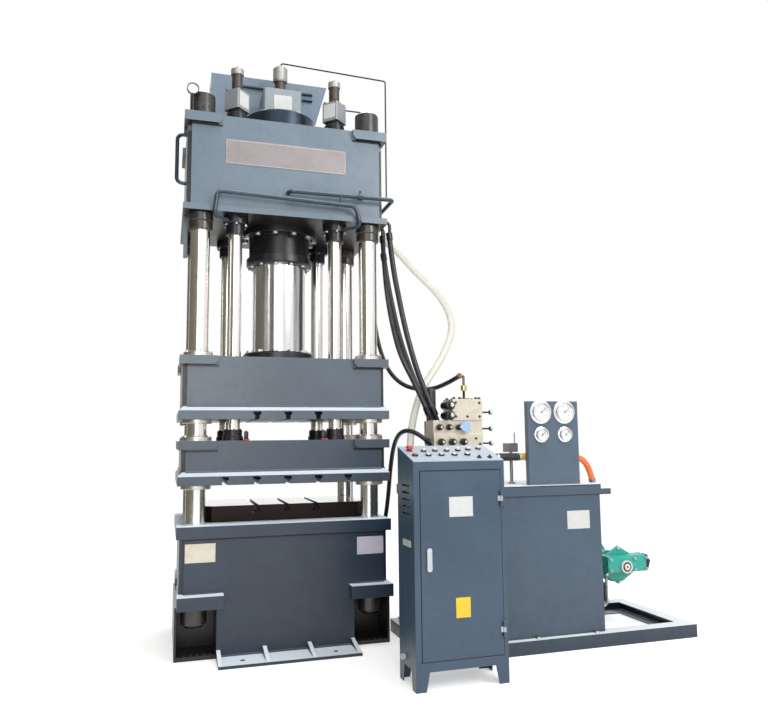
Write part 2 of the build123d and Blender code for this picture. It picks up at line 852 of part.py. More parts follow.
def hose_elbows():
    """Elbows from the right wall of the crown to the upper hose fittings."""
    wall = half_w - side_inset
    elbows = []
    for route, d in ((crown_route_1, thick_hose_d), (crown_route_2, thick_hose_d),
                     (crown_route_3, slim_hose_d), (top_route, slim_hose_d)):
        x, y, z = route[0]
        collar = ferrule(route[0], route[1], d + 10, 60)
        high = max(z + 150, crown_z + 90)
        elbow = pipe([(wall, y, high), (x, y, high), (x, y, z + 55)], crown_pipe_d - 6, 34)
        elbows.append(elbow + collar)
    x, y, z = clear_route[0]
    reach = x - clear_hose_d / 2 - wall
    stub = Pos(wall + reach / 2, y, z) * Rot(0, 90, 0) * Cylinder(clear_hose_d / 2 - 4, reach)
    collar = ferrule(clear_route[0], clear_route[1], clear_hose_d + 8, 30)
    elbows.append(stub + collar)
    x, y, z = lower_route[0]
    collar = ferrule(lower_route[0], lower_route[1], slim_hose_d + 10, 60)
    adapter = block(wall, x - 8, y - 32, y + 32, z - 85, z - 15)
    elbows.append(collar + adapter)
    return elbows


def pilot_pipes():
    """Thin pilot pipes on the crown and the stem of the small gauge."""
    head = crown_top + barrel_drum_h + prefill_height + prefill_head_h
    wall = half_w - side_inset
    long_run = pipe([(0, 0, head), (0, 0, head + 45), (half_w + 40, -390, head - 200),
                     (half_w + 40, -390, crown_z + 260), (wall, -390, crown_z + 260)],
                    pilot_d, 24)
    valve_x, valve_y = rod_pitch_x / 2, -rod_pitch_y / 2
    edge = valve_x + (side_valve_width - side_valve_chamfer) / math.sqrt(2)
    high = crown_top + 235
    short_run = pipe([(edge, valve_y, high), (half_w - 28, valve_y, high),
                      (half_w - 28, valve_y, crown_top)], pilot_d, 45)
    return [long_run, short_run]


# Cabinet.
def cabinet_profile(inset):
    """Side outline of the cabinet body, set in by the wall."""
    low = cabinet_bottom + inset
    front, rear = cabinet_front + inset, cabinet_rear - inset
    slope = console_rise / cabinet_depth
    front_top = cabinet_front_top + slope * inset - inset
    rear_top = cabinet_front_top + console_rise - slope * inset - inset
    x = cabinet_left + inset
    return make_face(Polyline((x, front, low), (x, rear, low), (x, rear, rear_top),
                              (x, front, front_top), close=True))


def cabinet_foot():
    """Tapered angle foot for the front left corner."""
    x, y, z = cabinet_left, cabinet_front, cabinet_bottom + 30
    w, toe, t = cabinet_foot_w, cabinet_foot_toe, 5
    front = Polyline((x, y, 0), (x + toe, y, 0), (x + w, y, z), (x, y, z), close=True)
    side = Polyline((x, y, 0), (x, y + toe, 0), (x, y + w, z), (x, y, z), close=True)
    return (extrude(make_face(front), t, dir=(0, 1, 0))
            + extrude(make_face(side), t, dir=(1, 0, 0)))


def cabinet_shell():
    """Sheet cabinet with a door opening, a folded frame lip, feet and hinge pins."""
    body = extrude(cabinet_profile(0), cabinet_width, dir=(1, 0, 0))
    inner = extrude(cabinet_profile(cabinet_wall), cabinet_width - 2 * cabinet_wall,
                    dir=(1, 0, 0))
    body = body - inner
    x0 = cabinet_left + door_margin_left - door_gap
    x1 = cabinet_right - door_margin_right + door_gap
    z0, z1 = door_bottom - door_gap, door_top + door_gap
    back = cabinet_front + door_t + frame_lip
    reveal = block(x0 - cabinet_wall, x1 + cabinet_wall, cabinet_front, back,
                   z0 - cabinet_wall, z1 + cabinet_wall)
    body = body + (reveal - block(x0, x1, cabinet_front - 1, back + 1, z0, z1))
    body = body - block(x0, x1, cabinet_front - 1, back, z0, z1)
    slope_depth = cabinet_depth / math.cos(math.radians(console_angle))
    roof = Box(cabinet_width - 2 * roof_lip, slope_depth - 2 * roof_lip, 40)
    body = body - console_frame() * (Pos(cabinet_width / 2, slope_depth / 2, 0) * roof)
    middle = Plane.YZ.offset(cabinet_left + cabinet_width / 2)
    depth = Plane.XZ.offset(-(cabinet_front + cabinet_depth / 2))
    foot = cabinet_foot()
    feet = [foot, mirror(foot, middle)]
    feet += [mirror(one, depth) for one in feet]
    for one in feet:
        body = body + one
    for z in hinge_heights:
        body = body + hinge_pin(z)
    for k in range(5):
        z = 1100 + 46 * k
        body = body - block(cabinet_left - 1, cabinet_left + cabinet_wall + 1,
                            cabinet_rear - 235, cabinet_rear - 95, z, z + 12)
    gland = Pos(cabinet_left, cabinet_rear - 110, 168) * Rot(0, 90, 0)
    body = body + gland * (Pos(0, 0, -12) * Cylinder(20, 26))
    return body


def hinge_axis():
    """Centre of the hinge pins, in front of the door's right edge."""
    x = cabinet_right - door_margin_right + door_gap / 2
    return x, cabinet_front - hinge_barrel_d / 2 - running_clearance


def hinge_pin(z):
    """Pin with two fixed barrels and a leaf on the cabinet's front."""
    x, y = hinge_axis()
    h = hinge_barrel_h
    pin = disc(x, y, z - 1.5 * h, z + 1.5 * h, hinge_pin_d)
    for side in (-1, 1):
        low = z + side * (h + running_clearance) - h / 2
        pin = pin + disc(x, y, low, low + h, hinge_barrel_d)
        pin = pin + block(x, x + 24, y, cabinet_front, low, low + h)
    return pin


def cabinet_door():
    """Folded door with stiffening returns and a moving hinge barrel at each pin."""
    x0 = cabinet_left + door_margin_left
    x1 = cabinet_right - door_margin_right
    y0, y1 = cabinet_front, cabinet_front + door_t
    door = block(x0, x1, y0, y1, door_bottom, door_top)
    door = door - block(x0 + door_skin, x1 - door_skin, y0 + door_skin, y1 + 1,
                        door_bottom + door_skin, door_top - door_skin)
    x, y = hinge_axis()
    for z in hinge_heights:
        low, high = z - hinge_barrel_h / 2, z + hinge_barrel_h / 2
        door = door + disc(x, y, low, high, hinge_barrel_d)
        door = door + block(x - 26, x, y, y0, low, high)
        door = door - disc(x, y, low - 1, high + 1, hinge_pin_d + 2 * pin_clearance)
    hx = x0 + handle_inset()
    boss = along_y(hx, y0 + door_skin + 12, handle_z, Cylinder(14, 24))
    return door + boss - along_y(hx, y0 + 8, handle_z, Cylinder(8 + pin_clearance, 90))


def handle_inset():
    """Handle centre from the door's left edge."""
    return handle_width / 2 + 40


def door_handle():
    """Lift handle plate with a turning shaft and a cam behind the frame lip."""
    x = cabinet_left + door_margin_left + handle_inset()
    y = cabinet_front - running_clearance
    half = handle_height / 2
    grip = block(x - handle_width / 2, x + handle_width / 2, y - 14, y,
                 handle_z - half, handle_z + half)
    grip = fillet(grip.edges().filter_by(Axis.Y), handle_width / 2 - 2)
    cam_y = cabinet_front + door_t + frame_lip + running_clearance
    shaft = along_y(x, (y + cam_y) / 2 + 3, handle_z, Cylinder(8, cam_y - y + 6))
    reach = handle_inset() + door_gap + cabinet_wall - 1
    cam = block(x - reach, x + 12, cam_y, cam_y + 6, handle_z - 13, handle_z + 13)
    return grip + shaft + cam


def console_frame():
    """Working plane of the sloping console, x along it and y up the slope."""
    slope = math.radians(console_angle)
    return Plane((cabinet_left, cabinet_front, cabinet_front_top), x_dir=(1, 0, 0),
                 z_dir=(0, -math.sin(slope), math.cos(slope)))


def on_console(u, v, shape):
    """Stand a shape on the console's top face."""
    return console_frame() * (Pos(u, v, console_t) * shape)


def button_places():
    """Front row of push buttons: the first is the stop button."""
    return [(console_left + button_pitch * i, front_row) for i in range(5)]


def switch_places():
    """Two small selector switches at the right of the front row."""
    last = cabinet_width - console_right
    return [(last - 0.67 * button_pitch, switch_row), (last + 14, switch_row)]


def lamp_places():
    """Back row of lamps and gauges right of the emergency stop."""
    lifts = [0, 6, 0, 6, 22, 38]
    first = console_left + button_pitch
    return [(first + 0.89 * button_pitch * i, back_row + lift) for i, lift in enumerate(lifts)]


def console_panel():
    """Console plate with bezels for the buttons and the fused lamps."""
    slope = math.radians(console_angle)
    depth = cabinet_depth / math.cos(slope)
    plate = console_frame() * (Pos(cabinet_width / 2, depth / 2, console_t / 2)
                               * Box(cabinet_width, depth, console_t))
    collar = ring(0, 0, 0, button_bezel_h, button_bezel_d, button_d + 2 * pin_clearance)
    for u, v in button_places():
        plate = plate + on_console(u, v, collar)
    for u, v in [stop_place] + button_places():
        hole = disc(0, 0, -console_t - 1, 1, button_d + 2 * pin_clearance)
        plate = plate - on_console(u, v, hole)
    small = ring(0, 0, 0, 5, 30, 20 + 2 * pin_clearance)
    for u, v in switch_places():
        plate = plate + on_console(u, v, small)
        plate = plate - on_console(u, v, disc(0, 0, -console_t - 1, 1, 20 + 2 * pin_clearance))
    lamp = turned([(0, 0), (19, 0), (19, 7), (14, 9), (14, 18), (10, 22), (0, 22)])
    for u, v in lamp_places():
        plate = plate + on_console(u, v, lamp)
    return plate


def push_button():
    """Button cap with a stem that runs through the console."""
    return turned([(0, -30), (9, -30), (9, -8), (button_d / 2, -8),
                   (button_d / 2, button_proud - 2), (button_d / 2 - 2, button_proud),
                   (0, button_proud)])


def emergency_stop():
    """Mushroom head on a stem."""
    r, stem = mushroom_d / 2, button_d / 2
    return turned([(0, -30), (9, -30), (9, -8), (stem, -8), (stem, 14), (r - 3, 17),
                   (r, 22), (r - 4, 30), (r - 14, 34), (0, 35)])


def selector_switch():
    """Rotary switch with a bar grip."""
    body = turned([(0, -25), (7, -25), (7, -6), (10, -6), (10, 9), (0, 9)])
    return body + block(-3.5, 3.5, -10, 13, 5, 19)


def cabinet_equipment():
    """Mounting plate with rails, contactors, a controller and terminals."""
    x0, x1 = cabinet_left + 45, cabinet_right - 45
    y = cabinet_rear - cabinet_wall
    pieces = [block(x0, x1, y - 24, y - 20, equipment_bottom, equipment_top)]
    for x in (x0 + 30, x1 - 30):
        for z in (equipment_bottom + 40, equipment_top - 40):
            pieces.append(along_y(x, y - 10, z, Cylinder(8, 20)))
    for z in (420, 720, 1010):
        pieces.append(block(x0 + 20, x1 - 20, y - 32, y - 24, z - 17, z + 17))
    pitch = (x1 - x0 - 160) / 5
    for i in range(6):
        x = x0 + 40 + pitch * i
        pieces.append(block(x, x + pitch - 26, y - 112, y - 32, 680, 765))
    pieces.append(block(x0 + 40, x1 - 280, y - 110, y - 32, 960, 1070))
    pieces.append(block(x1 - 250, x1 - 80, y - 100, y - 32, 965, 1065))
    pieces.append(block(x0 + 40, x1 - 60, y - 76, y - 32, 395, 445))
    return pieces


# Power unit.
def channel_x(x0, x1, y_web, side):
    """Channel rail along X with its web at y_web; side +1 opens towards +Y."""
    depth = side * base_rail
    low, high = sorted([y_web, y_web + depth])
    rail = block(x0, x1, low, high, 0, base_height)
    low, high = sorted([y_web + side * channel_t, y_web + depth + side])
    return rail - block(x0 - 1, x1 + 1, low, high, channel_t, base_height - channel_t)


def channel_y(x_web, side, y0, y1):
    """Channel rail along Y with its web at x_web; side +1 opens towards +X."""
    low, high = sorted([x_web, x_web + side * base_rail])
    rail = block(low, high, y0, y1, 0, base_height)
    low, high = sorted([x_web + side * channel_t, x_web + side * (base_rail + 1)])
    return rail - block(low, high, y0 - 1, y1 + 1, channel_t, base_height - channel_t)


def base_frame():
    """Rectangle of channels with cross rails under the tank and a motor bay."""
    frame = channel_x(base_left, base_right, base_front, 1)
    frame = frame + channel_x(base_left, base_right, base_rear, -1)
    inner_front, inner_rear = base_front + channel_t, base_rear - channel_t
    frame = frame + channel_y(base_left, 1, inner_front, inner_rear)
    frame = frame + channel_y(base_right, -1, inner_front, inner_rear)
    for x in base_rails:
        frame = frame + channel_y(x, 1, inner_front, inner_rear)
    for x, side in ((motor_bay_left, 1), (motor_bay_right, -1)):
        frame = frame + channel_y(x, side, inner_rear, motor_bay_rear)
    end = channel_x(motor_bay_left, motor_bay_right, motor_bay_rear, -1)
    return frame + end


def oil_tank():
    """Oil tank on the base frame."""
    return block(tank_left, tank_right, tank_front, tank_rear, base_height, lid_top - lid_t)


def tank_lid():
    """Folded lid that laps over the tank's walls, with a side tray at its right."""
    edge = tank_right + lid_edge
    low = lid_top - lid_lip
    lid = block(lid_left, edge, lid_front, lid_rear, low, lid_top)
    lid = lid + block(edge - lid_edge, lid_right, lid_front, lid_rear, low, lid_top - tray_drop)
    c = seat_clearance
    lid = lid - block(tank_left - c, tank_right + c, tank_front - c, tank_rear + c,
                      low - 1, lid_top - lid_t)
    fold = lid_edge - c
    return lid - block(edge, lid_right - fold, tank_front - c, tank_rear + c,
                       low - 1, lid_top - tray_drop - lid_t)


def gauge_places():
    """Centres of the panel gauges with their flange diameters."""
    left = panel_left + gauge_left
    return [(left, lid_top + big_gauge_z, big_gauge_d),
            (left + gauge_pitch, lid_top + big_gauge_z, big_gauge_d),
            (left, lid_top + small_gauge_z, small_gauge_d),
            (left + gauge_pitch, lid_top + small_gauge_z, small_gauge_d)]


def gauge_panel():
    """Folded panel on the lid, open at the back, with a hole for each gauge."""
    x0, x1 = panel_left, panel_left + panel_width
    y0, y1 = panel_front, panel_front + panel_depth
    top = lid_top + panel_height
    panel = block(x0, x1, y0, y1, lid_top, top)
    panel = panel - block(x0 + panel_t, x1 - panel_t, y0 + panel_t, y1 + 1,
                          lid_top + panel_t, top - panel_t)
    for x, z, d in gauge_places():
        panel = panel - along_y(x, y0, z, Cylinder(0.36 * d + seat_clearance, 40))
    return panel


def gauge(d):
    """Gauge on the Z axis: flange at zero, bezel and dial recess up, case down."""
    case, bezel = 0.36 * d, 0.41 * d
    dial = gauge_proud - gauge_recess
    return turned([
        (0, -46), (case, -46), (case, 0), (d / 2, 0), (d / 2, 6), (bezel, 10),
        (bezel, gauge_proud), (bezel - 6, gauge_proud), (bezel - 6, dial),
        (4, dial), (4, dial + 4), (0, dial + 4),
    ])


def pressure_gauges():
    """Four panel gauges and the small gauge on a stem at the crown's corner."""
    gauges = [along_y(x, panel_front, z, gauge(d)) for x, z, d in gauge_places()]
    x, y, z = -half_w + 59, -half_d + 10, crown_top + 179
    small = along_y(x, y, z, turned([(0, -18), (40, -18), (47, -12), (47, 12), (41, 12),
                                     (41, 6), (0, 6)]))
    stem = disc(x, y, crown_top, z - 35, 16)
    return gauges + [small + stem]


def needle(x, z, d):
    """Pointer with a hub on the gauge's spindle, at rest up to the right."""
    length = 0.30 * d
    y = panel_front - (gauge_proud - gauge_recess) - 4
    hub = Cylinder(6, needle_t) + Pos(0, 0, 0) * Cylinder(3, needle_t)
    tip = Polyline((-3, -14), (3, -14), (1, length), (-1, length), close=True)
    blade = Pos(0, 0, -needle_t / 2) * extrude(make_face(tip), needle_t)
    shape = Rot(0, 0, -50) * (hub + blade)
    return along_y(x, y - needle_t / 2 - running_clearance, z, shape)


def cartridge(x, z, d, length, face_y=manifold_front):
    """Valve cartridge on a front face of the manifold, with a collar and a cap."""
    shape = turned([(0, 0), (d / 2, 0), (d / 2, length * 0.4), (d * 0.36, length * 0.45),
                    (d * 0.36, length * 0.9), (d * 0.28, length), (0, length)])
    return along_y(x, face_y, z, shape)


def adjuster(x, y, z, length):
    """Stem with a lock nut and a handwheel, out of a right face of the manifold."""
    stem = turned([(0, 0), (16, 0), (16, 14), (7, 18), (7, length - 20), (19, length - 20),
                   (23, length - 14), (23, length - 6), (19, length), (0, length)])
    return Pos(x, y, z) * Rot(0, 90, 0) * stem


def twin_valve(z):
    """Black valve body with a socket in its front, beside the top block."""
    x0, y0 = manifold_left, manifold_front
    body = along_y(x0 + 125, y0, z, turned([(0, -90), (32, -90), (32, 40), (36, 44),
                                            (36, 60), (24, 64), (24, 92), (0, 92)]))
    return body + block(x0 + 125, manifold_top_left, y0 + 10, y0 + 70, z - 26, z + 26)


def hose_nipple(route, d):
    """Crimped sleeve and nipple that end a hose in the manifold's valve band."""
    end, inner = Vector(*route[-1]), Vector(*route[-2])
    drop = (inner - end).normalized().Z
    reach = (end.Z - manifold_band + 12) / drop
    return ferrule(end, inner, d + 10, 70) + ferrule(end, inner, d - 10, reach)


def valve_manifold():
    """Valve stack: foot plate, main block, valve band, top block and fittings."""
    x0, x1 = manifold_left, manifold_right
    y0, y1 = manifold_front, manifold_rear
    mid, band, top = manifold_mid, manifold_band, manifold_top
    stack = block(x0 - 40, x1 + 30, y0 - 20, y1 + 20, lid_top, lid_top + 40)
    stack = stack + block(x0, x1, y0, y1, lid_top + 40, mid)
    stack = stack + block(x0, x1, y0 + 12, y1 - 12, mid, band)
    stack = stack + block(manifold_top_left, x1, y0, y1, band, top)
    stack = stack - block(x0 - 1, x1 + 1, y0 - 1, y0 + 8, mid - 6, mid + 6)
    stack = stack + block(x1 - 90, x1, return_line_y - 36, y0,
                          return_line_z - 42, return_line_z + 42)
    for i in range(3):
        stack = stack + cartridge(x0 + 55 + 95 * i, mid - 66, 56, 70)
        stack = stack + cartridge(x0 + 48 + 82 * i, mid + 50, 50, 62, y0 + 12)
    for i in range(2):
        stack = stack + cartridge(x0 + 200 + 75 * i, mid - 160, 44, 55)
    for z in (band + 38, band + 118):
        stack = stack + twin_valve(z)
    coil = extrude(RegularPolygon(44, 8), 46)
    stack = stack + along_y(x0 + 261, y0 + 12, mid + 54, coil)
    for z in (band + 66, mid + 38, mid - 80):
        stack = stack + adjuster(x1, y0 + 60, z, 110)
    rear_x, rear_y = x0 + 70, y1 + 40
    stack = stack + block(rear_x - 46, rear_x + 46, y1, rear_y + 44, mid - 90, band)
    accumulator = turned([(0, band), (40, band), (40, top + 78), (32, top + 98), (0, top + 98)])
    stack = stack + Pos(rear_x, rear_y, 0) * accumulator
    riser_x = x1 - 115
    head = riser_top
    riser = turned([(0, top), (22, top), (22, top + 10), (10, top + 14), (10, head - 52),
                    (24, head - 52), (24, head - 12), (10, head - 8), (10, head), (0, head)])
    stack = stack + Pos(riser_x, manifold_y, 0) * riser
    stack = stack + ferrule(top_route[-1], top_route[-2], slim_hose_d + 8, 22)
    end, inner = Vector(*top_route[-1]), Vector(*top_route[-2])
    fitting = end + (end - inner).normalized() * 14
    stack = stack + pipe([tuple(fitting), (riser_x, manifold_y, fitting.Z),
                          (riser_x, manifold_y, riser_top - 2)], 20, 12)
    for route, d in ((crown_route_1, thick_hose_d), (crown_route_2, thick_hose_d),
                     (crown_route_3, slim_hose_d)):
        stack = stack + hose_nipple(route, d)
    return stack + ferrule(lower_route[-1], lower_route[-2], slim_hose_d + 10, 92)


def power_unit_pipes():
    """Return line, suction, drain and pressure pipes, and two hose feet."""
    x0, x1 = manifold_right, return_route[0][0]
    return_line = Pos((x0 + x1) / 2, return_line_y, return_line_z) * Rot(0, 90, 0)
    return_line = return_line * Cylinder(return_pipe_d / 2, x1 - x0)
    y = pump_rear - 67
    casing = along_y(shaft_x, pump_rear, shaft_z, Pos(0, 0, 60) * Cylinder(
        pump_body_d / 2 + seat_clearance, 200))
    suction = Pos((tank_right + shaft_x) / 2, y, shaft_z - 25) * Rot(0, 90, 0)
    suction = suction * Cylinder(suction_d / 2, shaft_x - tank_right) - casing
    pressure = pipe([(shaft_x, y, shaft_z + 62), (tank_right + 50, y, shaft_z + 62),
                     (tank_right + 50, y, lid_top - tray_drop - lid_t)], 30, 60) - casing
    z = shaft_z - 80
    drain = pipe([(shaft_x - 150, pump_front + 60, z + 20), (shaft_x - 150, pump_front + 60, 210),
                  (tank_right, pump_front + 60, 210)], 22, 40)
    x, y, z = clear_route[-1]
    foot = ferrule(clear_route[-1], clear_route[-2], clear_hose_d + 8, 28)
    foot = foot + disc(x, y, lid_top, z - 12, clear_hose_d)
    x, y, z = return_route[-1]
    hose_foot = ferrule(return_route[-1], return_route[-2], return_hose_d + 8, 22)
    hose_foot = hose_foot + disc(x + 6, y, lid_top, z - 12, return_hose_d)
    box = block(1742, 1850, -780, -725, return_line_z + 36, return_line_z + 108)
    post = disc(1800, -752, lid_top, return_line_z + 36, 26) + disc(1800, -752, lid_top,
                                                                    lid_top + 12, 60)
    stem = disc(1835, -752, return_line_z + 108, return_line_z + 195, 9)
    return [return_line, suction, drain, pressure, foot, hose_foot, box + post + stem]


def pump_body():
    """Variable pump: hexagon body, control housing across it and a round dial."""
    x, z = shaft_x, shaft_z
    flange = along_y(x, pump_rear, z, extrude(Circle(pump_flange_d / 2), 30))
    body = along_y(x, pump_rear - 30, z, turned([(0, 0), (pump_body_d / 2, 0), (pump_body_d / 2, 70),
                                       (80, 85), (80, 140), (0, 140)]))
    plate = along_y(x, pump_rear - 105, z - 8, extrude(RegularPolygon(pump_plate_r, 6),
                                                         pump_plate_t))
    housing = block(x - housing_left, x + housing_right, pump_front,
                    pump_front + housing_depth, z - 22, z + 112)
    housing = chamfer(housing.edges().filter_by(Axis.X), 14)
    dial = along_y(x + 2, pump_front, z + 26, turned([(0, 0), (52, 0), (52, 22), (40, 22),
                                                      (40, 14), (26, 14), (26, 26), (0, 26)]))
    cap = Pos(x + housing_right, pump_front + housing_depth / 2, z + 45) * Rot(0, 90, 0)
    screw = cap * turned([(0, 0), (66, 0), (66, 18), (16, 20), (16, 62), (12, 66), (0, 66)])
    length = bell_rear - pump_rear
    bell = along_y(x, bell_rear, z, turned([
        (70, 0), (bell_flange_d / 2, 0), (bell_flange_d / 2, 22), (bell_d / 2, 34), (bell_d / 2 - 8, length - 60),
        (pump_flange_d / 2, length - 25), (pump_flange_d / 2, length), (70, length)]))
    return flange + body + plate + housing + dial + screw, bell


def motor_frame():
    """Motor housing with cooling fins, feet, terminal box and its stool."""
    x, z = shaft_x, shaft_z
    r = motor_d / 2
    y0 = bell_rear
    half = shaft_d / 2 + pin_clearance
    cowl = fan_d / 2 + 6
    shell = along_y(x, motor_end, z, turned([
        (cowl, 0), (r - 12, 0), (r - 6, 90), (r - 18, 100), (r - 18, motor_length - 60),
        (r, motor_length - 50), (r, motor_length), (half, motor_length),
        (half, motor_length - 30), (r - 40, motor_length - 40), (r - 40, 100), (half, 100),
        (half, 80), (cowl, 70)]))
    fin = block(x - 4, x + 4, y0 + 65, motor_end - 105, z + r - 22, z + r)
    for i in range(14):
        angle = -115 + 230 * i / 13
        turn = Pos(x, 0, z) * Rot(0, angle, 0) * Pos(-x, 0, -z)
        shell = shell + turn * fin
    foot_top = z - r + 90
    for side in (-1, 1):
        low, high = sorted([x + side * 110, x + side * 185])
        shell = shell + block(low, high, y0 + 80, motor_end - 160, base_height + motor_stool_h,
                              foot_top)
    box = block(x - 60, x + 60, y0 + 120, y0 + 260, z + r - 26, z + r + 60)
    shell = shell + fillet(box.edges().filter_by(Axis.Z), 12)
    y1 = motor_end - 100
    stool = block(x - 220, x + 220, y0 + 60, y1, base_height, base_height + motor_stool_h)
    stool = stool - block(x - 200, x + 200, y0 + 50, y1 + 10, base_height + 15,
                          base_height + motor_stool_h - 20)
    return shell, stool


def motor_rotor():
    """Motor shaft with its rotor core, cooling fan and coupling half."""
    x, z = shaft_x, shaft_z
    r = motor_d / 2
    core_end = motor_length - 120
    shaft = along_y(x, motor_end - 12, z, turned([
        (0, 0), (shaft_d / 2, 0), (shaft_d / 2, 150), (r - 60, 150), (r - 60, core_end),
        (shaft_d / 2, core_end), (shaft_d / 2, motor_length + 30), (58, motor_length + 30),
        (58, motor_length + 110), (0, motor_length + 110)]))
    blade = block(x + shaft_d / 2 - 2, x + fan_d / 2, motor_end - 60, motor_end - 20,
                  z - 3, z + 3)
    for i in range(7):
        turn = Pos(x, 0, z) * Rot(0, 360 * i / 7, 0) * Pos(-x, 0, -z)
        shaft = shaft + turn * blade
    return shaft


# Export.
def main():
    column_names = ["front_left", "front_right", "rear_left", "rear_right"]
    post = column()
    for name, (x, y) in zip(column_names, column_places):
        save("column_" + name, Pos(x, y, 0) * post)
    save("bed_frame", bed_frame())
    save("crown_frame", crown_frame())
    save("column_nuts", *column_nuts())
    save("bolster_plate", bolster_plate())
    save("main_cylinder_barrel", main_cylinder_barrel())
    save("main_cylinder_gland", main_cylinder_gland())
    cylinder = side_cylinder()
    save("side_cylinder_barrels", *[Pos(x, y, 0) * cylinder for x, y in rod_places])
    save("frame_bolts", *frame_bolts())
    save("prefill_valve", prefill_valve())
    valve = side_valve()
    save("side_valves", *[Pos(x, y, 0) * valve for x, y in rod_places[:2]])
    save("prefill_tank", prefill_tank())
    save("crown_pipes", side_loop(), *front_pipes(), *hose_elbows(), *pilot_pipes())
    save("upper_slide", upper_slide())
    save("upper_slide_bushes", *guide_bushes(upper_slide_z, upper_slide_top))
    save("main_ram", main_ram())
    save("ram_flange", ram_flange())
    save("upper_slide_bolts", *upper_slide_bolts())
    save("second_slide", second_slide())
    save("second_slide_bushes", *guide_bushes(second_slide_z, second_slide_top))
    save("side_rods", *side_rods())
    save("rod_flanges", *rod_flanges())
    save("second_slide_bolts", *bush_bolt_heads(second_slide_top))
    save("cabinet_shell", cabinet_shell())
    save("console_panel", console_panel())
    save("cabinet_door", cabinet_door())
    save("door_handle", door_handle())
    save("cabinet_equipment", *cabinet_equipment())
    save("emergency_stop_button", on_console(*stop_place, emergency_stop()))
    places = button_places()
    save("stop_button", on_console(*places[0], push_button()))
    for i, (u, v) in enumerate(places[1:], start=1):
        save(f"push_button_{i}", on_console(u, v, push_button()))
    for i, (u, v) in enumerate(switch_places(), start=1):
        save(f"selector_switch_{i}", on_console(u, v, selector_switch()))
    save("base_frame", base_frame())
    save("oil_tank", oil_tank())
    save("tank_lid", tank_lid())
    save("gauge_panel", gauge_panel())
    save("pressure_gauges", *pressure_gauges())
    for i, (x, z, d) in enumerate(gauge_places(), start=1):
        save(f"gauge_needle_{i}", needle(x, z, d))
    save("valve_manifold", valve_manifold())
    save("power_unit_pipes", *power_unit_pipes())
    save("pump_body", *pump_body())
    save("motor_frame", *motor_frame())
    save("motor_rotor", motor_rotor())
    save("clear_hose", hose("clear_hose", clear_route, clear_hose_d))
    save("crown_hose_1", hose("crown_hose_1", crown_route_1, thick_hose_d))
    save("crown_hose_2", hose("crown_hose_2", crown_route_2, thick_hose_d))
    save("crown_hose_3", hose("crown_hose_3", crown_route_3, slim_hose_d))
    save("manifold_top_hose", hose("manifold_top_hose", top_route, slim_hose_d))
    save("lower_hose", hose("lower_hose", lower_route, slim_hose_d))
    save("return_hose", hose("return_hose", return_route, return_hose_d))


main()
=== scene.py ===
# %% [markdown]
# # A hydraulic press, its control cabinet and its oil power unit
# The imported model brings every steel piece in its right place. This lesson adds
# the camera, the free hoses, the light, the finishes and small pieces.

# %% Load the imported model
import bpy
import bmesh
import math
from mathutils import Matrix, Vector


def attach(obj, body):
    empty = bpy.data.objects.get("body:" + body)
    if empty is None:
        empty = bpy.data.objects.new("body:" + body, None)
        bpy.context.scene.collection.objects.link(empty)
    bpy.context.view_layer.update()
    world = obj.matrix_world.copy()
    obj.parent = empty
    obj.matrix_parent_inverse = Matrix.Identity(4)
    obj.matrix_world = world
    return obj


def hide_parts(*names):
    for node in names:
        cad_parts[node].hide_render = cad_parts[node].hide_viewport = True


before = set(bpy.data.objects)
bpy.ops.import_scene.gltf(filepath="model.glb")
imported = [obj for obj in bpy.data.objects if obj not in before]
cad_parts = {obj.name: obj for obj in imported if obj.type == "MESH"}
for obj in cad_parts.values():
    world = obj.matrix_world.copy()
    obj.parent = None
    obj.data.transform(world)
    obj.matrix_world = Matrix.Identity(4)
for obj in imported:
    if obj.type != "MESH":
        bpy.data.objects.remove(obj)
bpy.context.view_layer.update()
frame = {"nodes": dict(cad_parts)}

nodes, scene = frame["nodes"], bpy.context.scene


def linked(name, data):
    """A new object in the scene."""
    made = bpy.data.objects.new(name, data)
    scene.collection.objects.link(made)
    return made


def mesh_of(shape, name):
    mesh = bpy.data.meshes.new(name)
    shape.to_mesh(mesh)
    shape.free()
    return mesh


def turn_about(axis, degrees):
    return Matrix.Rotation(math.radians(degrees), 4, axis)


# %% [markdown]
# ## Camera
# The picture was taken from the left at a standing person's eye height, tilted
# a little up. A camera looks along its own -Z, so its matrix is built from three
# directions: right, up and backwards. The lens follows from the focal length in
# pixels over the width of the picture.

# %% The camera
eye = Vector((-0.91, -6.0866, 1.6))
heading, tilt, roll = 0.296312, 0.108007, -0.009924
forward = Vector((math.sin(heading) * math.cos(tilt),
                  math.cos(heading) * math.cos(tilt), math.sin(tilt)))
level = Vector((math.cos(heading), -math.sin(heading), 0.0))
above = level.cross(forward)
right = level * math.cos(roll) + above * math.sin(roll)
up = above * math.cos(roll) - level * math.sin(roll)
focal_length, picture_width = 712.365, 768      # both in pixels
lens = bpy.data.cameras.new("camera")
lens.sensor_width = 36.0
lens.lens = focal_length / picture_width * lens.sensor_width
lens.clip_end = 200.0
camera = linked("camera", lens)
turn = Matrix((right, up, -forward)).transposed().to_4x4()
camera.matrix_world = Matrix.Translation(eye) @ turn
scene.camera = camera
print("camera at", tuple(round(v, 3) for v in eye), "lens", round(lens.lens, 2), "mm")

# %% [markdown]
# ## Free hoses
# Seven hoses hang between the crown, the bed and the power unit. Each is one
# bent tube of a fixed length: a NURBS spline draws a smooth line along a few
# control points, and a round bevel gives it its thickness. The order is set
# after the points, because a spline with no points cannot take it.

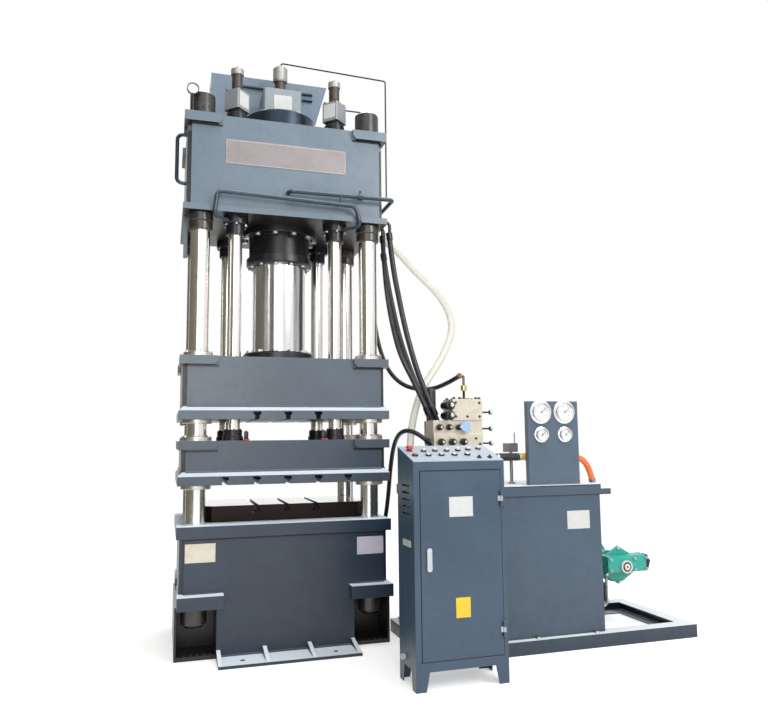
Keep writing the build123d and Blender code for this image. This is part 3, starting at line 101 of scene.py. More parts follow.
# %% A smooth hose along its route
def hose(name, node, route, diameter):
    curve = bpy.data.curves.new(name, "CURVE")
    curve.dimensions = "3D"
    line = curve.splines.new("NURBS")
    line.points.add(len(route) - 1)
    for point, place in zip(line.points, route):
        point.co = (*place, 1.0)
    line.order_u = 3
    line.use_endpoint_u = True
    line.resolution_u = 12
    piece = linked(name, curve)
    bare = bpy.data.meshes.new_from_object(piece)
    bpy.data.meshes.remove(bare)
    curve.bevel_depth = diameter / 2
    curve.bevel_resolution = 5
    curve.use_fill_caps = True
    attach(piece, "frame")
    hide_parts(node)
    return piece


# %% The seven hoses
routes = {
    "clear_hose": [
        (0.87, 0.06, 3.475), (1.01, -0.04, 3.37), (1.2, -0.13, 3.11), (1.44, -0.21, 2.86),
        (1.52, -0.28, 2.59), (1.37, -0.35, 2.29), (1.14, -0.42, 2.01), (1.04, -0.465, 1.72),
        (1.015, -0.48, 1.47), (1.01, -0.505, 1.27)],
    "crown_hose_1": [
        (0.92, -0.3, 3.33), (0.936, -0.33, 3.08), (0.962, -0.4, 2.81), (0.992, -0.46, 2.55),
        (1.035, -0.52, 2.3), (1.08, -0.59, 2.075), (1.145, -0.675, 1.85)],
    "crown_hose_2": [
        (0.93, -0.095, 3.2), (0.95, -0.13, 2.98), (0.968, -0.215, 2.74), (0.992, -0.295, 2.5),
        (1.036, -0.375, 2.27), (1.08, -0.465, 2.07), (1.118, -0.61, 1.85)],
    "crown_hose_3": [
        (0.885, -0.2, 3.33), (0.884, -0.25, 3.05), (0.89, -0.31, 2.8), (0.912, -0.375, 2.55),
        (0.95, -0.45, 2.3), (1.02, -0.6, 2.06), (1.085, -0.69, 1.85)],
    "manifold_top_hose": [
        (0.92, 0.33, 3.33), (0.925, 0.315, 3.03), (0.934, 0.27, 2.74), (0.945, 0.15, 2.45),
        (0.97, -0.05, 2.2), (1.055, -0.26, 2.045), (1.24, -0.35, 2.015), (1.33, -0.54, 2.055),
        (1.375, -0.69, 2.105)],
    "lower_hose": [
        (0.88, 0.15, 0.66), (0.978, 0.145, 0.81), (1.004, 0.095, 1.08), (0.99, -0.02, 1.34),
        (0.965, -0.21, 1.56), (0.955, -0.43, 1.665), (1.01, -0.61, 1.67), (1.085, -0.69, 1.59)],
    "return_hose": [
        (2.21, -0.905, 1.45), (2.325, -0.905, 1.45), (2.425, -0.905, 1.37), (2.45, -0.905, 1.262)]}
clear_hose = hose("clear_hose_run", "clear_hose", routes["clear_hose"], 0.06)
black_hoses = [hose(name, node, routes[node], diameter) for name, node, diameter in (
    ("crown_hose_run_1", "crown_hose_1", 0.046), ("crown_hose_run_2", "crown_hose_2", 0.046),
    ("crown_hose_run_3", "crown_hose_3", 0.038),
    ("manifold_hose_run", "manifold_top_hose", 0.038), ("bed_hose_run", "lower_hose", 0.038))]
orange_hose = hose("return_hose_run", "return_hose", routes["return_hose"], 0.048)

# %% [markdown]
# ## Floor and light
# The world is white to the camera, to gloss and to clear things, and a plain
# grey to everything else, so that the background is white without flooding the
# paint. Dark cards that the camera cannot see stand at both sides, because
# polished columns need something dark to mirror. The large one on the left also
# keeps light off the faces that look to the left.

# %% World, floor and lamps
scene.view_settings.view_transform = "Standard"
scene.world = bpy.data.worlds.new("studio")
scene.world.use_nodes = True
sky_tree = scene.world.node_tree
background = sky_tree.nodes["Background"]
background.inputs["Color"].default_value = (1.0, 1.0, 1.0, 1.0)
rays = sky_tree.nodes.new("ShaderNodeLightPath")
seen = rays.outputs["Is Camera Ray"]
for ray in ("Is Glossy Ray", "Is Transmission Ray"):
    either = sky_tree.nodes.new("ShaderNodeMath")
    either.operation = "MAXIMUM"
    sky_tree.links.new(seen, either.inputs[0])
    sky_tree.links.new(rays.outputs[ray], either.inputs[1])
    seen = either.outputs[0]
strength = sky_tree.nodes.new("ShaderNodeMapRange")
strength.inputs["To Min"].default_value = 0.62
strength.inputs["To Max"].default_value = 1.0
sky_tree.links.new(seen, strength.inputs["Value"])
sky_tree.links.new(strength.outputs["Result"], background.inputs["Strength"])


def plane(name, width, height, matrix):
    shape = bmesh.new()
    bmesh.ops.create_grid(shape, x_segments=1, y_segments=1, size=0.5)
    bmesh.ops.scale(shape, vec=(width, height, 1.0), verts=shape.verts)
    bmesh.ops.transform(shape, matrix=matrix, verts=shape.verts)
    piece = linked(name, mesh_of(shape, name))
    return piece


def card(name, width, height, place, angle):
    """An upright card, turned about Z, that the camera cannot see."""
    turn = turn_about("Z", angle) @ turn_about("X", 90)
    piece = plane(name, width, height, Matrix.Translation(place) @ turn)
    piece.visible_camera = False
    return piece


floor = plane("floor", 60.0, 60.0, Matrix.Translation((1.0, 0.0, -0.001)))
cards = [card("left_card", 13.0, 8.0, (-4.4, 1.0, 4.0), 90),
         card("right_card", 5.0, 7.0, (8.5, 2.5, 3.5), 90),
         card("front_card", 1.6, 6.0, (-4.6, -6.5, 3.0), -40)]
for piece in cards[1:]:
    piece.visible_shadow = False
    piece.visible_diffuse = False


def lamp(name, place, aim, size, power):
    light = bpy.data.lights.new(name, "AREA")
    light.size = size
    light.energy = power
    made = linked(name, light)
    made.location = place
    made.rotation_euler = (Vector(aim) - Vector(place)).to_track_quat("-Z", "Y").to_euler()


lamp("key", (4.6, -7.2, 6.2), (0.5, 0.0, 1.8), 3.0, 330)
lamp("fill", (-1.4, -8.0, 3.4), (0.4, 0.0, 1.9), 4.0, 190)
lamp("top", (0.6, -4.6, 12.0), (0.5, -0.3, 1.0), 6.0, 600)
lamp("rear", (0.5, 3.0, 8.0), (0.5, 0.0, 2.0), 4.0, 120)
print("studio has", len(bpy.data.lights), "lamps and", len(cards), "dark cards")

# %% [markdown]
# ## Writing a finish as sums
# Wiring Math nodes by hand hides what they work out, so one class wraps a
# number socket and turns +, -, * and / into Math nodes, and one method of the
# finish makes every other node.

# %% Numbers of a shader, and the finish that holds them
class Number:
    def __init__(self, finish, socket):
        self.finish = finish
        self.socket = socket

    def maths(self, operation, first, second, clamp=False):
        return self.finish.node("ShaderNodeMath", {"operation": operation, "use_clamp": clamp},
                                {0: first, 1: second})

    def __add__(self, other):
        return self.maths("ADD", self, other)

    def __sub__(self, other):
        return self.maths("SUBTRACT", self, other)

    def __rsub__(self, other):
        return self.maths("SUBTRACT", other, self)

    def __mul__(self, other):
        return self.maths("MULTIPLY", self, other)

    def __truediv__(self, other):
        return self.maths("DIVIDE", self, other)

    def clamped(self):
        return self.maths("ADD", self, 0.0, clamp=True)

    def over(self, other):
        return self.maths("GREATER_THAN", self, other)

    def wave(self):
        return self.maths("SINE", self, 0.0)

    __radd__ = __add__
    __rmul__ = __mul__


class Finish:
    def __init__(self, name, colour, **sockets):
        self.material = bpy.data.materials.new(name)
        self.material.use_nodes = True
        self.tree = self.material.node_tree
        self.shader = self.tree.nodes["Principled BSDF"]
        self.place = self.node("ShaderNodeTexCoord", output="Object")
        self.shader.inputs["Base Color"].default_value = (*colour, 1.0)
        self.material.diffuse_color = (*colour, 1.0)
        for socket, value in sockets.items():
            self.shader.inputs[socket.replace("_", " ")].default_value = value

    def node(self, kind, settings=None, inputs=None, output=0):
        made = self.tree.nodes.new(kind)
        for setting, value in (settings or {}).items():
            setattr(made, setting, value)
        for key, value in (inputs or {}).items():
            self.feed(made.inputs[key], value)
        return Number(self, made.outputs[output])

    def feed(self, socket, value):
        if isinstance(value, Number):
            self.tree.links.new(value.socket, socket)
        elif isinstance(value, tuple) and len(value) == 3 and socket.type == "RGBA":
            socket.default_value = (*value, 1.0)
        else:
            socket.default_value = value

    def give(self, socket, value):
        self.feed(self.shader.inputs[socket], value)

    def mix(self, factor, first, second):
        return self.node("ShaderNodeMix", {"data_type": "RGBA"},
                         {0: factor, 6: first, 7: second}, output=2)

    def stretched(self, x, y, z):
        return self.node("ShaderNodeMapping", {}, {"Vector": self.place, "Scale": (x, y, z)})

    def noise(self, scale, detail=3.0, roughness=0.55, place=None):
        return self.node("ShaderNodeTexNoise", {}, {"Vector": place or self.place,
                         "Scale": scale, "Detail": detail, "Roughness": roughness})

    def bump(self, height, strength, distance=0.002, normal=None):
        inputs = {"Height": height, "Strength": strength, "Distance": distance}
        if normal is not None:
            inputs["Normal"] = normal
        return self.node("ShaderNodeBump", {}, inputs)

    def dot(self, first, second):
        return self.node("ShaderNodeVectorMath", {"operation": "DOT_PRODUCT"},
                         {0: first, 1: second}, output="Value")

    def facing(self, x, y, z):
        """How much the surface looks along a direction, from -1 to 1."""
        return self.dot(self.node("ShaderNodeNewGeometry", output="Normal"), (x, y, z))

    def rounded(self, radius):
        """The normal of an edge as if it were rounded off."""
        return self.node("ShaderNodeBevel", {"samples": 4}, {"Radius": radius})

    def edges(self, radius):
        """One on sharp edges and zero on flat faces."""
        flat = self.node("ShaderNodeNewGeometry", output="Normal")
        return ((1.0 - self.dot(self.rounded(radius), flat)) * 6.0).clamped()

    def surface(self, colour, roughness, normal):
        """Gives the shader its three main inputs and hands out the material."""
        for socket, value in (("Base Color", colour), ("Roughness", roughness.clamped()),
                              ("Normal", normal)):
            self.give(socket, value)
        return self.material

    def along(self, axis):
        """Where the point lies in the machine along X, Y or Z, in metres."""
        return self.node("ShaderNodeSeparateXYZ", {}, {0: self.place}, output=axis)

    def zone(self, **limits):
        """One inside the given limits, such as x=(low, high), and zero outside."""
        mask = None
        for axis, (low, high) in limits.items():
            at = self.along(axis.upper())
            part = at.over(low) * (1.0 - at.over(high))
            mask = part if mask is None else mask * part
        return mask


def times(shade, factor, lift=0.0):
    """A shade made darker or paler."""
    return tuple(min(1.0, factor * part + lift) for part in shade)


print("a finish knows", len([m for m in dir(Finish) if not m.startswith("_")]), "words")

# %% [markdown]
# ## Sprayed machine paint
# Beams, tank and cabinet are sprayed with blue-grey enamel. It varies in broad
# soft clouds, a fine orange peel breaks up its gloss, faces that look up are
# painted paler, partly as dust and partly as a painted highlight of the sky, it is
# darker towards the floor, and edges are rubbed lighter. Each of these is one
# term. Zones give a part a colour of its own, and also paint shade: painted
# shadow lines under pads, plates and the tank's lid and behind the ends of webs,
# and painted shade in slots and in the bed's open pits.

# %% Enamel in the machine's shades
def enamel(name, shade, light, rough=0.34, sky=(0.4, 0.5, 0.6), lit=0.25, low=0.0,
           under=None, ripple=None, zones=()):
    paint = Finish(name, shade, Specular_IOR_Level=0.5)
    broad = paint.noise(1.3, 2.0)
    mottle = paint.noise(14.0, 4.0, 0.6)
    grain = paint.noise(160.0, 2.0)
    colour = paint.mix((broad * 1.6 - 0.35).clamped(), shade, light)
    colour = paint.mix(((mottle - 0.48) * 1.3).clamped(), colour, times(shade, 0.72))
    # Faces that look up are painted paler: partly settled dust, partly a painted highlight of the
    # sky.
    dust_and_sky_glare = (paint.facing(0.0, 0.0, 1.0) * lit * (0.8 + grain * 0.4)).clamped()
    colour = paint.mix(dust_and_sky_glare, colour, sky)
    rubbed = (paint.edges(0.006) * (mottle * 2.4 - 0.6).clamped() * 0.3).clamped()
    colour = paint.mix(rubbed, colour, times(shade, 2.2, 0.08))
    if low:
        near_floor = (1.0 - paint.along("Z") / low).clamped() * 0.55 * (1.0 - dust_and_sky_glare)
        colour = paint.mix(near_floor * (0.5 + mottle * 0.6), colour, times(shade, 0.45))
    if under:
        downward = (paint.facing(0.0, 0.0, -1.0) * 4.0 - 3.0).clamped()
        colour = paint.mix(downward, colour, paint.mix(mottle, times(under, 0.5), under))

    def patched(tint=black_line, **limits):
        patch = paint.mix(mottle, times(tint, 0.7), tint)
        return paint.mix(paint.zone(**limits), colour, patch)

    for zone in zones:
        colour = patched(**zone)
    streaks = paint.noise(5.0, 4.0, 0.6, paint.stretched(1.0, 1.0, 0.22))
    sheen = rough + (mottle - 0.5) * 0.16 + (streaks - 0.5) * 0.22 + dust_and_sky_glare * 0.3
    skin = paint.bump(paint.noise(900.0, 1.0), 0.1, 0.0006, paint.rounded(0.004))
    skin = paint.bump(paint.noise(3.2, 2.0), 0.1, 0.01, skin)
    if ripple:
        beat = (paint.along(ripple) * 1100.0 + mottle * 3.0).wave()
        skin = paint.bump(beat, 0.6, 0.0015, skin)
    return paint.surface(colour, sheen, skin)


def both_sides(inner, outer, **limits):
    """The same zone at the left and at the right of the press."""
    return [dict(x=reach, **limits) for reach in ((-outer, -inner), (inner, outer))]


def beam_shade_lines(low, high, pad_low):
    """Painted shade of a beam: dark strips behind the ends of its webs and painted shadow lines
    under its pads.
    """
    pad_shadows = (pad_low - 0.018, pad_low - 0.0003)
    return both_sides(0.7685, 0.7995, z=(low, high)) + both_sides(0.53, 0.84, z=pad_shadows)


def slide_enamel(name, shade, light, low, top):
    """Enamel of a slide, with painted black shade in the T-slot cuts of its underside."""
    slot_shade = dict(x=(-0.82, 0.82), y=(-0.534, 0.534), z=(low + 0.0005, low + 0.0605))
    lines = beam_shade_lines(low + 0.102, top - 0.069, top - 0.068)
    # lit and sky paint the slide's tops and bevels as a bright painted highlight.
    return enamel(name, shade, light, under=(0.05, 0.034, 0.025), lit=0.9,
                  sky=(0.74, 0.84, 0.92), zones=lines + [slot_shade])


black_line, pit_top = (0.01, 0.012, 0.015), 0.3845
crown_shades = (0.096, 0.133, 0.17), (0.145, 0.19, 0.235)
slide_shades = (0.06, 0.08, 0.102), (0.09, 0.115, 0.145)
low_slide_shades = (0.035, 0.05, 0.07), (0.053, 0.074, 0.099)
cabinet_shades = (0.024, 0.048, 0.08), (0.042, 0.076, 0.115)
pale_sky = (0.8, 0.84, 0.88)
# The crown's tops get a painted highlight of the sky, and its beam lines are painted shade.
crown_paint = enamel("crown_enamel", *crown_shades, under=(0.02, 0.014, 0.01), lit=0.5,
                     sky=(0.55, 0.64, 0.72), zones=beam_shade_lines(3.445, 4.05, 4.111))
slide_paint = slide_enamel("slide_enamel", *slide_shades, 1.763, 2.252)
low_slide_paint = slide_enamel("low_slide_enamel", *low_slide_shades, 1.267, 1.601)
# The bed's open pits are painted near black as shade, a strip under its top plate is a painted
# shadow line, and its ledge tops get a bright painted highlight of the sky.
pit_shades = both_sides(0.5255, 0.8245, z=(-0.01, pit_top), tint=(0.01, 0.007, 0.006))
bed_paint = enamel("bed_enamel", (0.014, 0.026, 0.045), (0.027, 0.046, 0.072), low=0.9,
                   lit=0.95, sky=(0.8, 0.9, 0.98),
                   zones=pit_shades + [dict(z=(0.864, 0.8798))])
cabinet_paint = enamel("cabinet_enamel", *cabinet_shades, rough=0.38, zones=[
    dict(x=(0.5, 0.6365), z=(0.0, 0.19), tint=(0.5, 0.5, 0.5))])
# The tank lid's top is painted near white as a highlight of glare, and the two dark bands at the
# lid's edge and under its lip are painted shadow lines.
tank_paint = enamel("tank_enamel", (0.037, 0.062, 0.094), (0.056, 0.088, 0.13), rough=0.3,
                    low=0.8, lit=0.85, sky=pale_sky,
                    zones=[dict(z=(1.222, 1.2298)), dict(z=(1.15, 1.156))])
panel_paint = enamel("panel_enamel", (0.058, 0.087, 0.122), (0.089, 0.123, 0.168), rough=0.3)
# The tops of the base frame are painted near white as a highlight of glare.
base_paint = enamel("base_enamel", (0.014, 0.029, 0.047), (0.03, 0.056, 0.085), low=0.25,
                    lit=0.9, sky=pale_sky)
pipe_paint = enamel("pipe_enamel", (0.014, 0.026, 0.042), (0.028, 0.048, 0.074), rough=0.22,
                    lit=0.3, zones=[dict(x=(0.801, 1.1), z=(3.0, 3.57)),
                                    dict(x=(0.84, 0.9), z=(3.64, 5.0)), dict(z=(4.36, 5.0))])
console_paint = enamel("console_enamel", (0.26, 0.31, 0.38), (0.36, 0.41, 0.48), rough=0.36,
                       lit=0.3, sky=(0.5, 0.56, 0.64))
crown_weld = enamel("crown_weld", *crown_shades, ripple="X")
slide_weld = enamel("slide_weld", *slide_shades, ripple="X")
# The bed's beads are painted near black, as painted shadow lines under its top plate and ledges.
bed_weld = enamel("bed_weld", (0.008, 0.01, 0.013), (0.014, 0.018, 0.023), ripple="X")
door_x, door_z = ([v.co[axis] for v in nodes["cabinet_door"].data.vertices] for axis in (0, 2))
edge_band, beyond = 0.005, 0.01
# The door's left, bottom and top edges are painted with a thin black band.
door_paint = enamel("door_enamel", *cabinet_shades, rough=0.38, zones=[
    dict(y=(-1.8, -1.6503), tint=(0.42, 0.43, 0.44)),
    dict(x=(min(door_x) - beyond, min(door_x) + edge_band)),
    dict(z=(min(door_z) - beyond, min(door_z) + edge_band)),
    dict(z=(max(door_z) - edge_band, max(door_z) + beyond))])
print("enamels:", [m.name for m in bpy.data.materials if m.name.endswith("enamel")])

# %% [markdown]
# ## Bare metals
# Columns and rods are ground and hard chromed, so they mirror the studio in long
# stripes, blurred by the grinding marks. Nuts, glands and flanges are blackened
# steel with an oily sheen, bushes and bolts are milled bright.

# %% Chrome, blackened, milled and plated steel
def chromed(name, tint=(0.84, 0.82, 0.78), rough=0.19):
    steel = Finish(name, tint, Metallic=1.0)
    film = steel.noise(2.2, 3.0, 0.6, steel.stretched(1.0, 1.0, 0.5))
    colour = steel.mix(film, times(tint, 0.86), tint)
    # Low down in the bed's open pits the columns are painted near black as shade.
    pit_shade = steel.zone(z=(-0.01, pit_top))
    rings = steel.noise(30.0, 3.0, 0.7, steel.stretched(0.3, 0.3, 14.0))
    return steel.surface(steel.mix(pit_shade, colour, (0.03, 0.026, 0.022)),
                         rough + (film - 0.5) * 0.1 + (rings - 0.5) * 0.06,
                         steel.bump(rings, 0.05, 0.0004))


def blackened(name, shade):
    steel = Finish(name, shade, Metallic=0.55, Specular_IOR_Level=0.6)
    mottle = steel.noise(26.0, 4.0, 0.6)
    edge = (steel.edges(0.004) * (mottle * 1.8)).clamped() * 0.55
    colour = steel.mix(mottle, times(shade, 0.6), times(shade, 1.7))
    skin = steel.bump(steel.noise(420.0, 2.0), 0.12, 0.0005, steel.rounded(0.003))
    return steel.surface(steel.mix(edge, colour, (0.38, 0.37, 0.36)),
                         0.3 + (mottle - 0.5) * 0.25, skin)


def milled(name, shade, rough=0.36, lines=(2.0, 60.0, 2.0)):
    steel = Finish(name, shade, Metallic=0.9)
    mottle = steel.noise(9.0, 4.0, 0.6)
    cuts = steel.noise(6.0, 3.0, 0.7, steel.stretched(*lines))
    colour = steel.mix(cuts, times(shade, 0.78), shade)
    edge = steel.edges(0.004) * 0.6
    colour = steel.mix((mottle * 1.2 - 0.5).clamped(), colour, times(shade, 0.5))
    return steel.surface(steel.mix(edge, colour, (0.66, 0.65, 0.63)),
                         rough + (cuts - 0.5) * 0.3,
                         steel.bump(cuts, 0.1, 0.0006, steel.rounded(0.003)))


chrome = chromed("hard_chrome")
ram_chrome = chromed("ram_chrome", (0.74, 0.76, 0.79), 0.17)
black_steel = blackened("oiled_black_steel", (0.018, 0.018, 0.02))
nut_steel = blackened("nut_steel", (0.05, 0.046, 0.044))
handle_steel = milled("handle_steel", (0.56, 0.58, 0.6), 0.38)
bush_steel = milled("bush_steel", (0.6, 0.57, 0.5), 0.34)
bolt_steel = milled("zinc_bolts", (0.52, 0.52, 0.52), 0.3, (30.0, 30.0, 30.0))
rim_steel = milled("gauge_rim_steel", (0.8, 0.8, 0.8), 0.24, (40.0, 40.0, 40.0))
plate_steel = milled("bare_name_sheet", (0.25, 0.225, 0.228), 0.5, (3.0, 90.0, 90.0))
print("metals:", chrome.name, black_steel.name, bolt_steel.name)

# %% [markdown]
# ## The bolster
# The bolster is one thick milled plate. Its top is painted near white as a
# painted highlight of glare, its flanks near black as shade with stains, and its
# T-slot cuts black as shade: one finish reads how far a face looks up.

# %% Bolster steel
bolster = Finish("bolster_steel", (0.1, 0.095, 0.09), Metallic=0.9)
upward = (bolster.facing(0.0, 0.0, 1.0) * 1.4 - 0.3).clamped()
scratches = bolster.noise(7.0, 5.0, 0.65, bolster.stretched(3.0, 40.0, 3.0))
stain = bolster.noise(5.0, 4.0, 0.6)
# Flanks are painted near black as shade with stains, the top near white as a painted highlight of
# glare with stains, and the T-slot faces black as shade.
painted_side_shade = bolster.mix(stain, (0.008, 0.006, 0.005), (0.024, 0.018, 0.015))
painted_top_glare = bolster.mix(scratches, (0.86, 0.86, 0.87), (0.98, 0.98, 0.98))
painted_top_glare = bolster.mix((stain * 1.6 - 1.0).clamped(), painted_top_glare, (0.5, 0.47, 0.44))
slot_shade = bolster.zone(x=(-0.27, 0.32), y=(-0.3195, 0.3195), z=(1.0345, 1.0945))
bolster_steel = bolster.surface(
    bolster.mix(slot_shade, bolster.mix(upward, painted_side_shade, painted_top_glare), black_line),
    0.17 + (scratches - 0.5) * 0.14 + (1.0 - upward) * 0.25,
    bolster.bump(scratches, 0.1, 0.0006, bolster.rounded(0.003)))
print("bolster finish has", len(bolster.tree.nodes), "nodes")

# %% [markdown]
# ## Castings of several finishes
# A valve has a pale body, a dark neck and a bright cap, and the manifold carries
# black plugs, a blue coil and brass nuts. Instead of splitting them, one finish
# asks where on the machine a point lies and changes shade and sheen from zone to
# zone, so every border falls on an edge of the solid.

# %% A casting whose finish changes from zone to zone
def zoned(name, shade, metal, rough, zones):
    cast = Finish(name, shade)
    mottle = cast.noise(22.0, 4.0, 0.6)
    colour = cast.mix(mottle, times(shade, 0.74), shade)
    for limits, tint, tint_metal, tint_rough in zones:
        mask = cast.zone(**limits)
        colour = cast.mix(mask, colour, cast.mix(mottle, times(tint, 0.66), tint))
        metal = mask * (tint_metal - metal) + metal
        rough = mask * (tint_rough - rough) + rough
    edge = (cast.edges(0.003) * (mottle * 1.6)).clamped() * 0.35
    cast.give("Metallic", metal)
    return cast.surface(cast.mix(edge, colour, (0.62, 0.61, 0.58)),
                        rough + (mottle - 0.5) * 0.2,
                        cast.bump(cast.noise(400.0, 2.0), 0.14, 0.0006, cast.rounded(0.003)))


near_black, dark_steel, dull_silver = (0.016, 0.016, 0.018), (0.1, 0.085, 0.075), (0.42, 0.42, 0.41)
neck = (near_black, 0.5, 0.32)
plug = (near_black, 0.6, 0.3)
block = (near_black, 0.6, 0.34)
side_valve_cast = zoned("side_valve_cast", (0.29, 0.31, 0.33), 0.25, 0.42, [
    (dict(z=(4.0, 4.2915)), *neck), (dict(z=(4.4565, 4.4745)), *neck),
    (dict(z=(4.4745, 4.604)), dark_steel, 0.8, 0.38),
    (dict(z=(4.604, 4.8)), dull_silver, 0.7, 0.45)])
prefill_cast = zoned("prefill_cast", (0.26, 0.295, 0.32), 0.2, 0.42, [
    (dict(z=(4.6495, 4.672)), *neck), (dict(z=(4.672, 4.785)), dark_steel, 0.8, 0.38),
    (dict(z=(4.785, 5.0)), dull_silver, 0.7, 0.4), (dict(z=(4.36, 4.4045)), *neck)])
barrel_cast = zoned("barrel_cast", (0.02, 0.02, 0.022), 0.55, 0.32, [
    (dict(z=(4.19, 5.0)), (0.034, 0.052, 0.078), 0.6, 0.24)])
gauge_cast = zoned("gauge_cast", (0.8, 0.8, 0.8), 0.9, 0.26, [
    (dict(x=(-1.0, 0.0)), (0.05, 0.05, 0.055), 0.5, 0.36)])
fill_tank_paint = zoned("fill_tank_enamel", (0.15, 0.205, 0.27), 0.0, 0.36, [
    (dict(y=(0.1, 0.2095), z=(4.5, 4.9)), (0.02, 0.034, 0.055), 0.0, 0.22)])
manifold_cast = zoned("manifold_cast", (0.66, 0.6, 0.48), 0.55, 0.36, [
    (dict(x=(1.0, 1.44), y=(-1.0, -0.8003), z=(1.45, 1.64)), *plug),
    (dict(x=(1.0, 1.327), y=(-1.0, -0.7883), z=(1.64, 1.745)), *plug),
    (dict(x=(1.327, 1.45), y=(-0.8345, -0.7883), z=(1.645, 1.745)), (0.36, 0.56, 0.82), 0.1, 0.34),
    (dict(x=(1.05, 1.2), y=(-0.76, -0.58), z=(1.746, 2.0)), *block),
    (dict(x=(1.0, 1.1095), y=(-0.78, -0.6), z=(1.45, 1.62)), *block),
    (dict(x=(1.19, 1.2718), y=(-1.0, -0.7), z=(1.7453, 1.93)), near_black, 0.4, 0.34),
    (dict(x=(1.0, 1.4), y=(-0.6, 0.0), z=(1.5, 2.2)), (0.045, 0.045, 0.048), 0.3, 0.34),
    (dict(x=(1.5303, 1.62), z=(1.5, 1.9)), *plug),
    (dict(x=(1.62, 1.7), z=(1.5, 1.9)), (0.66, 0.67, 0.68), 0.9, 0.24),
    (dict(x=(1.27, 1.5), z=(1.916, 1.989)), *plug),
    (dict(x=(1.35, 1.5), z=(1.989, 2.032)), (0.7, 0.55, 0.16), 0.9, 0.26),
    (dict(x=(1.27, 1.5), z=(2.032, 2.2)), (0.2, 0.13, 0.07), 0.7, 0.34)])
unit_pipe_cast = zoned("unit_pipe_cast", (0.3, 0.3, 0.31), 0.85, 0.34, [
    (dict(x=(1.529, 1.789), y=(-0.95, -0.87), z=(1.4, 1.5)), near_black, 0.1, 0.38),
    (dict(x=(1.789, 1.865), y=(-0.95, -0.87), z=(1.4, 1.5)), (0.8, 0.5, 0.03), 0.0, 0.3),
    (dict(x=(1.72, 1.87), y=(-0.79, -0.72), z=(1.484, 1.56)), (0.24, 0.25, 0.27), 0.2, 0.4)])
pump_cast = zoned("pump_enamel", (0.012, 0.36, 0.285), 0.0, 0.26, [
    (dict(x=(2.72, 2.835), y=(-1.0, -0.8503), z=(0.47, 0.585)), (0.7, 0.7, 0.68), 0.3, 0.3),
    (dict(x=(2.978, 3.2), y=(-1.0, -0.6), z=(0.4, 0.7)), (0.03, 0.022, 0.02), 0.5, 0.4)])
motor_cast = zoned("motor_enamel", (0.015, 0.24, 0.2), 0.0, 0.32, [
    (dict(z=(0.0, 0.2702)), (0.035, 0.046, 0.06), 0.0, 0.4)])
print("castings:", side_valve_cast.name, prefill_cast.name, manifold_cast.name)

# %% [markdown]
# ## Plastics, rubber and dial white
# Buttons are glossy moulded plastic, hoses are extruded rubber with a faint
# cloth print, and the dials of the gauges are white enamel.

# %% Plastics and rubbers
def moulded(name, shade, rough=0.28):
    plastic = Finish(name, shade, Specular_IOR_Level=0.5)
    speck = plastic.noise(300.0, 2.0)
    cloud = plastic.noise(20.0, 2.0)
    return plastic.surface(plastic.mix(cloud, times(shade, 0.82), shade),
                           rough + (cloud - 0.5) * 0.14,
                           plastic.bump(speck, 0.05, 0.0003, plastic.rounded(0.0012)))


def extruded_rubber(name, shade, rough):
    rubber = Finish(name, shade, Specular_IOR_Level=0.45)
    dusty = rubber.noise(9.0, 3.0)
    wrap = rubber.noise(120.0, 2.0, 0.6, rubber.stretched(1.0, 1.0, 2.6))
    dust = (dusty * 1.3 - 0.4).clamped()
    return rubber.surface(rubber.mix(dust, shade, times(shade, 1.5, 0.03)),
                          rough + (wrap - 0.5) * 0.25, rubber.bump(wrap, 0.18, 0.0012))


red_plastic = moulded("red_cap", (0.55, 0.012, 0.012))
yellow_paint = moulded("yellow_plate_enamel", (0.76, 0.5, 0.02), 0.34)
black_plastic = moulded("black_cap", (0.015, 0.015, 0.016), 0.34)
pale_plastic = moulded("pale_plastic", (0.62, 0.63, 0.62), 0.36)
white_paint = moulded("white_plate_enamel", (0.58, 0.59, 0.58), 0.3)
cream_paint = moulded("cream_plate_enamel", (0.66, 0.61, 0.5), 0.3)
lilac_paint = moulded("lilac_plate_enamel", (0.56, 0.54, 0.62), 0.3)
dial_paint = moulded("dial_enamel", (0.8, 0.8, 0.78), 0.4)
dial_ink = moulded("dial_ink", (0.02, 0.02, 0.02), 0.5)
red_ink = moulded("red_ink", (0.62, 0.05, 0.04), 0.5)
needle_black = moulded("needle_black", (0.03, 0.02, 0.02), 0.4)
black_rubber = extruded_rubber("black_hose", (0.012, 0.012, 0.013), 0.34)
orange_rubber = extruded_rubber("orange_hose", (0.76, 0.13, 0.022), 0.36)
print("plastics and rubbers are ready")

# %% [markdown]
# ## Clear hose
# The crown's return hose is clear PVC that has yellowed a little: mostly
# see-through, with a milky rim. Its alpha grows with how edge-on the wall is
# seen, which gives that without tracing light through two walls.

# %% See-through PVC
least_solid = 0.38
pvc = Finish("clear_pvc", (0.8, 0.8, 0.72), Roughness=0.16, IOR=1.45)
milk = pvc.noise(16.0, 3.0, 0.6)
rim = pvc.node("ShaderNodeLayerWeight", {}, {"Blend": 0.42}, output="Facing")
pvc.give("Base Color", pvc.mix(milk, (0.6, 0.54, 0.42), (0.82, 0.79, 0.7)))
pvc.give("Alpha", (least_solid + rim * 0.55 + (milk - 0.5) * 0.3).clamped())
pvc.give("Normal", pvc.bump(milk, 0.15, 0.003))
print("clear hose is", least_solid, "solid at its middle")

# %% [markdown]
# ## Dressing the steel pieces
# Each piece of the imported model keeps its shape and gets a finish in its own
# material slots. The names on the right are the pieces of the machine.

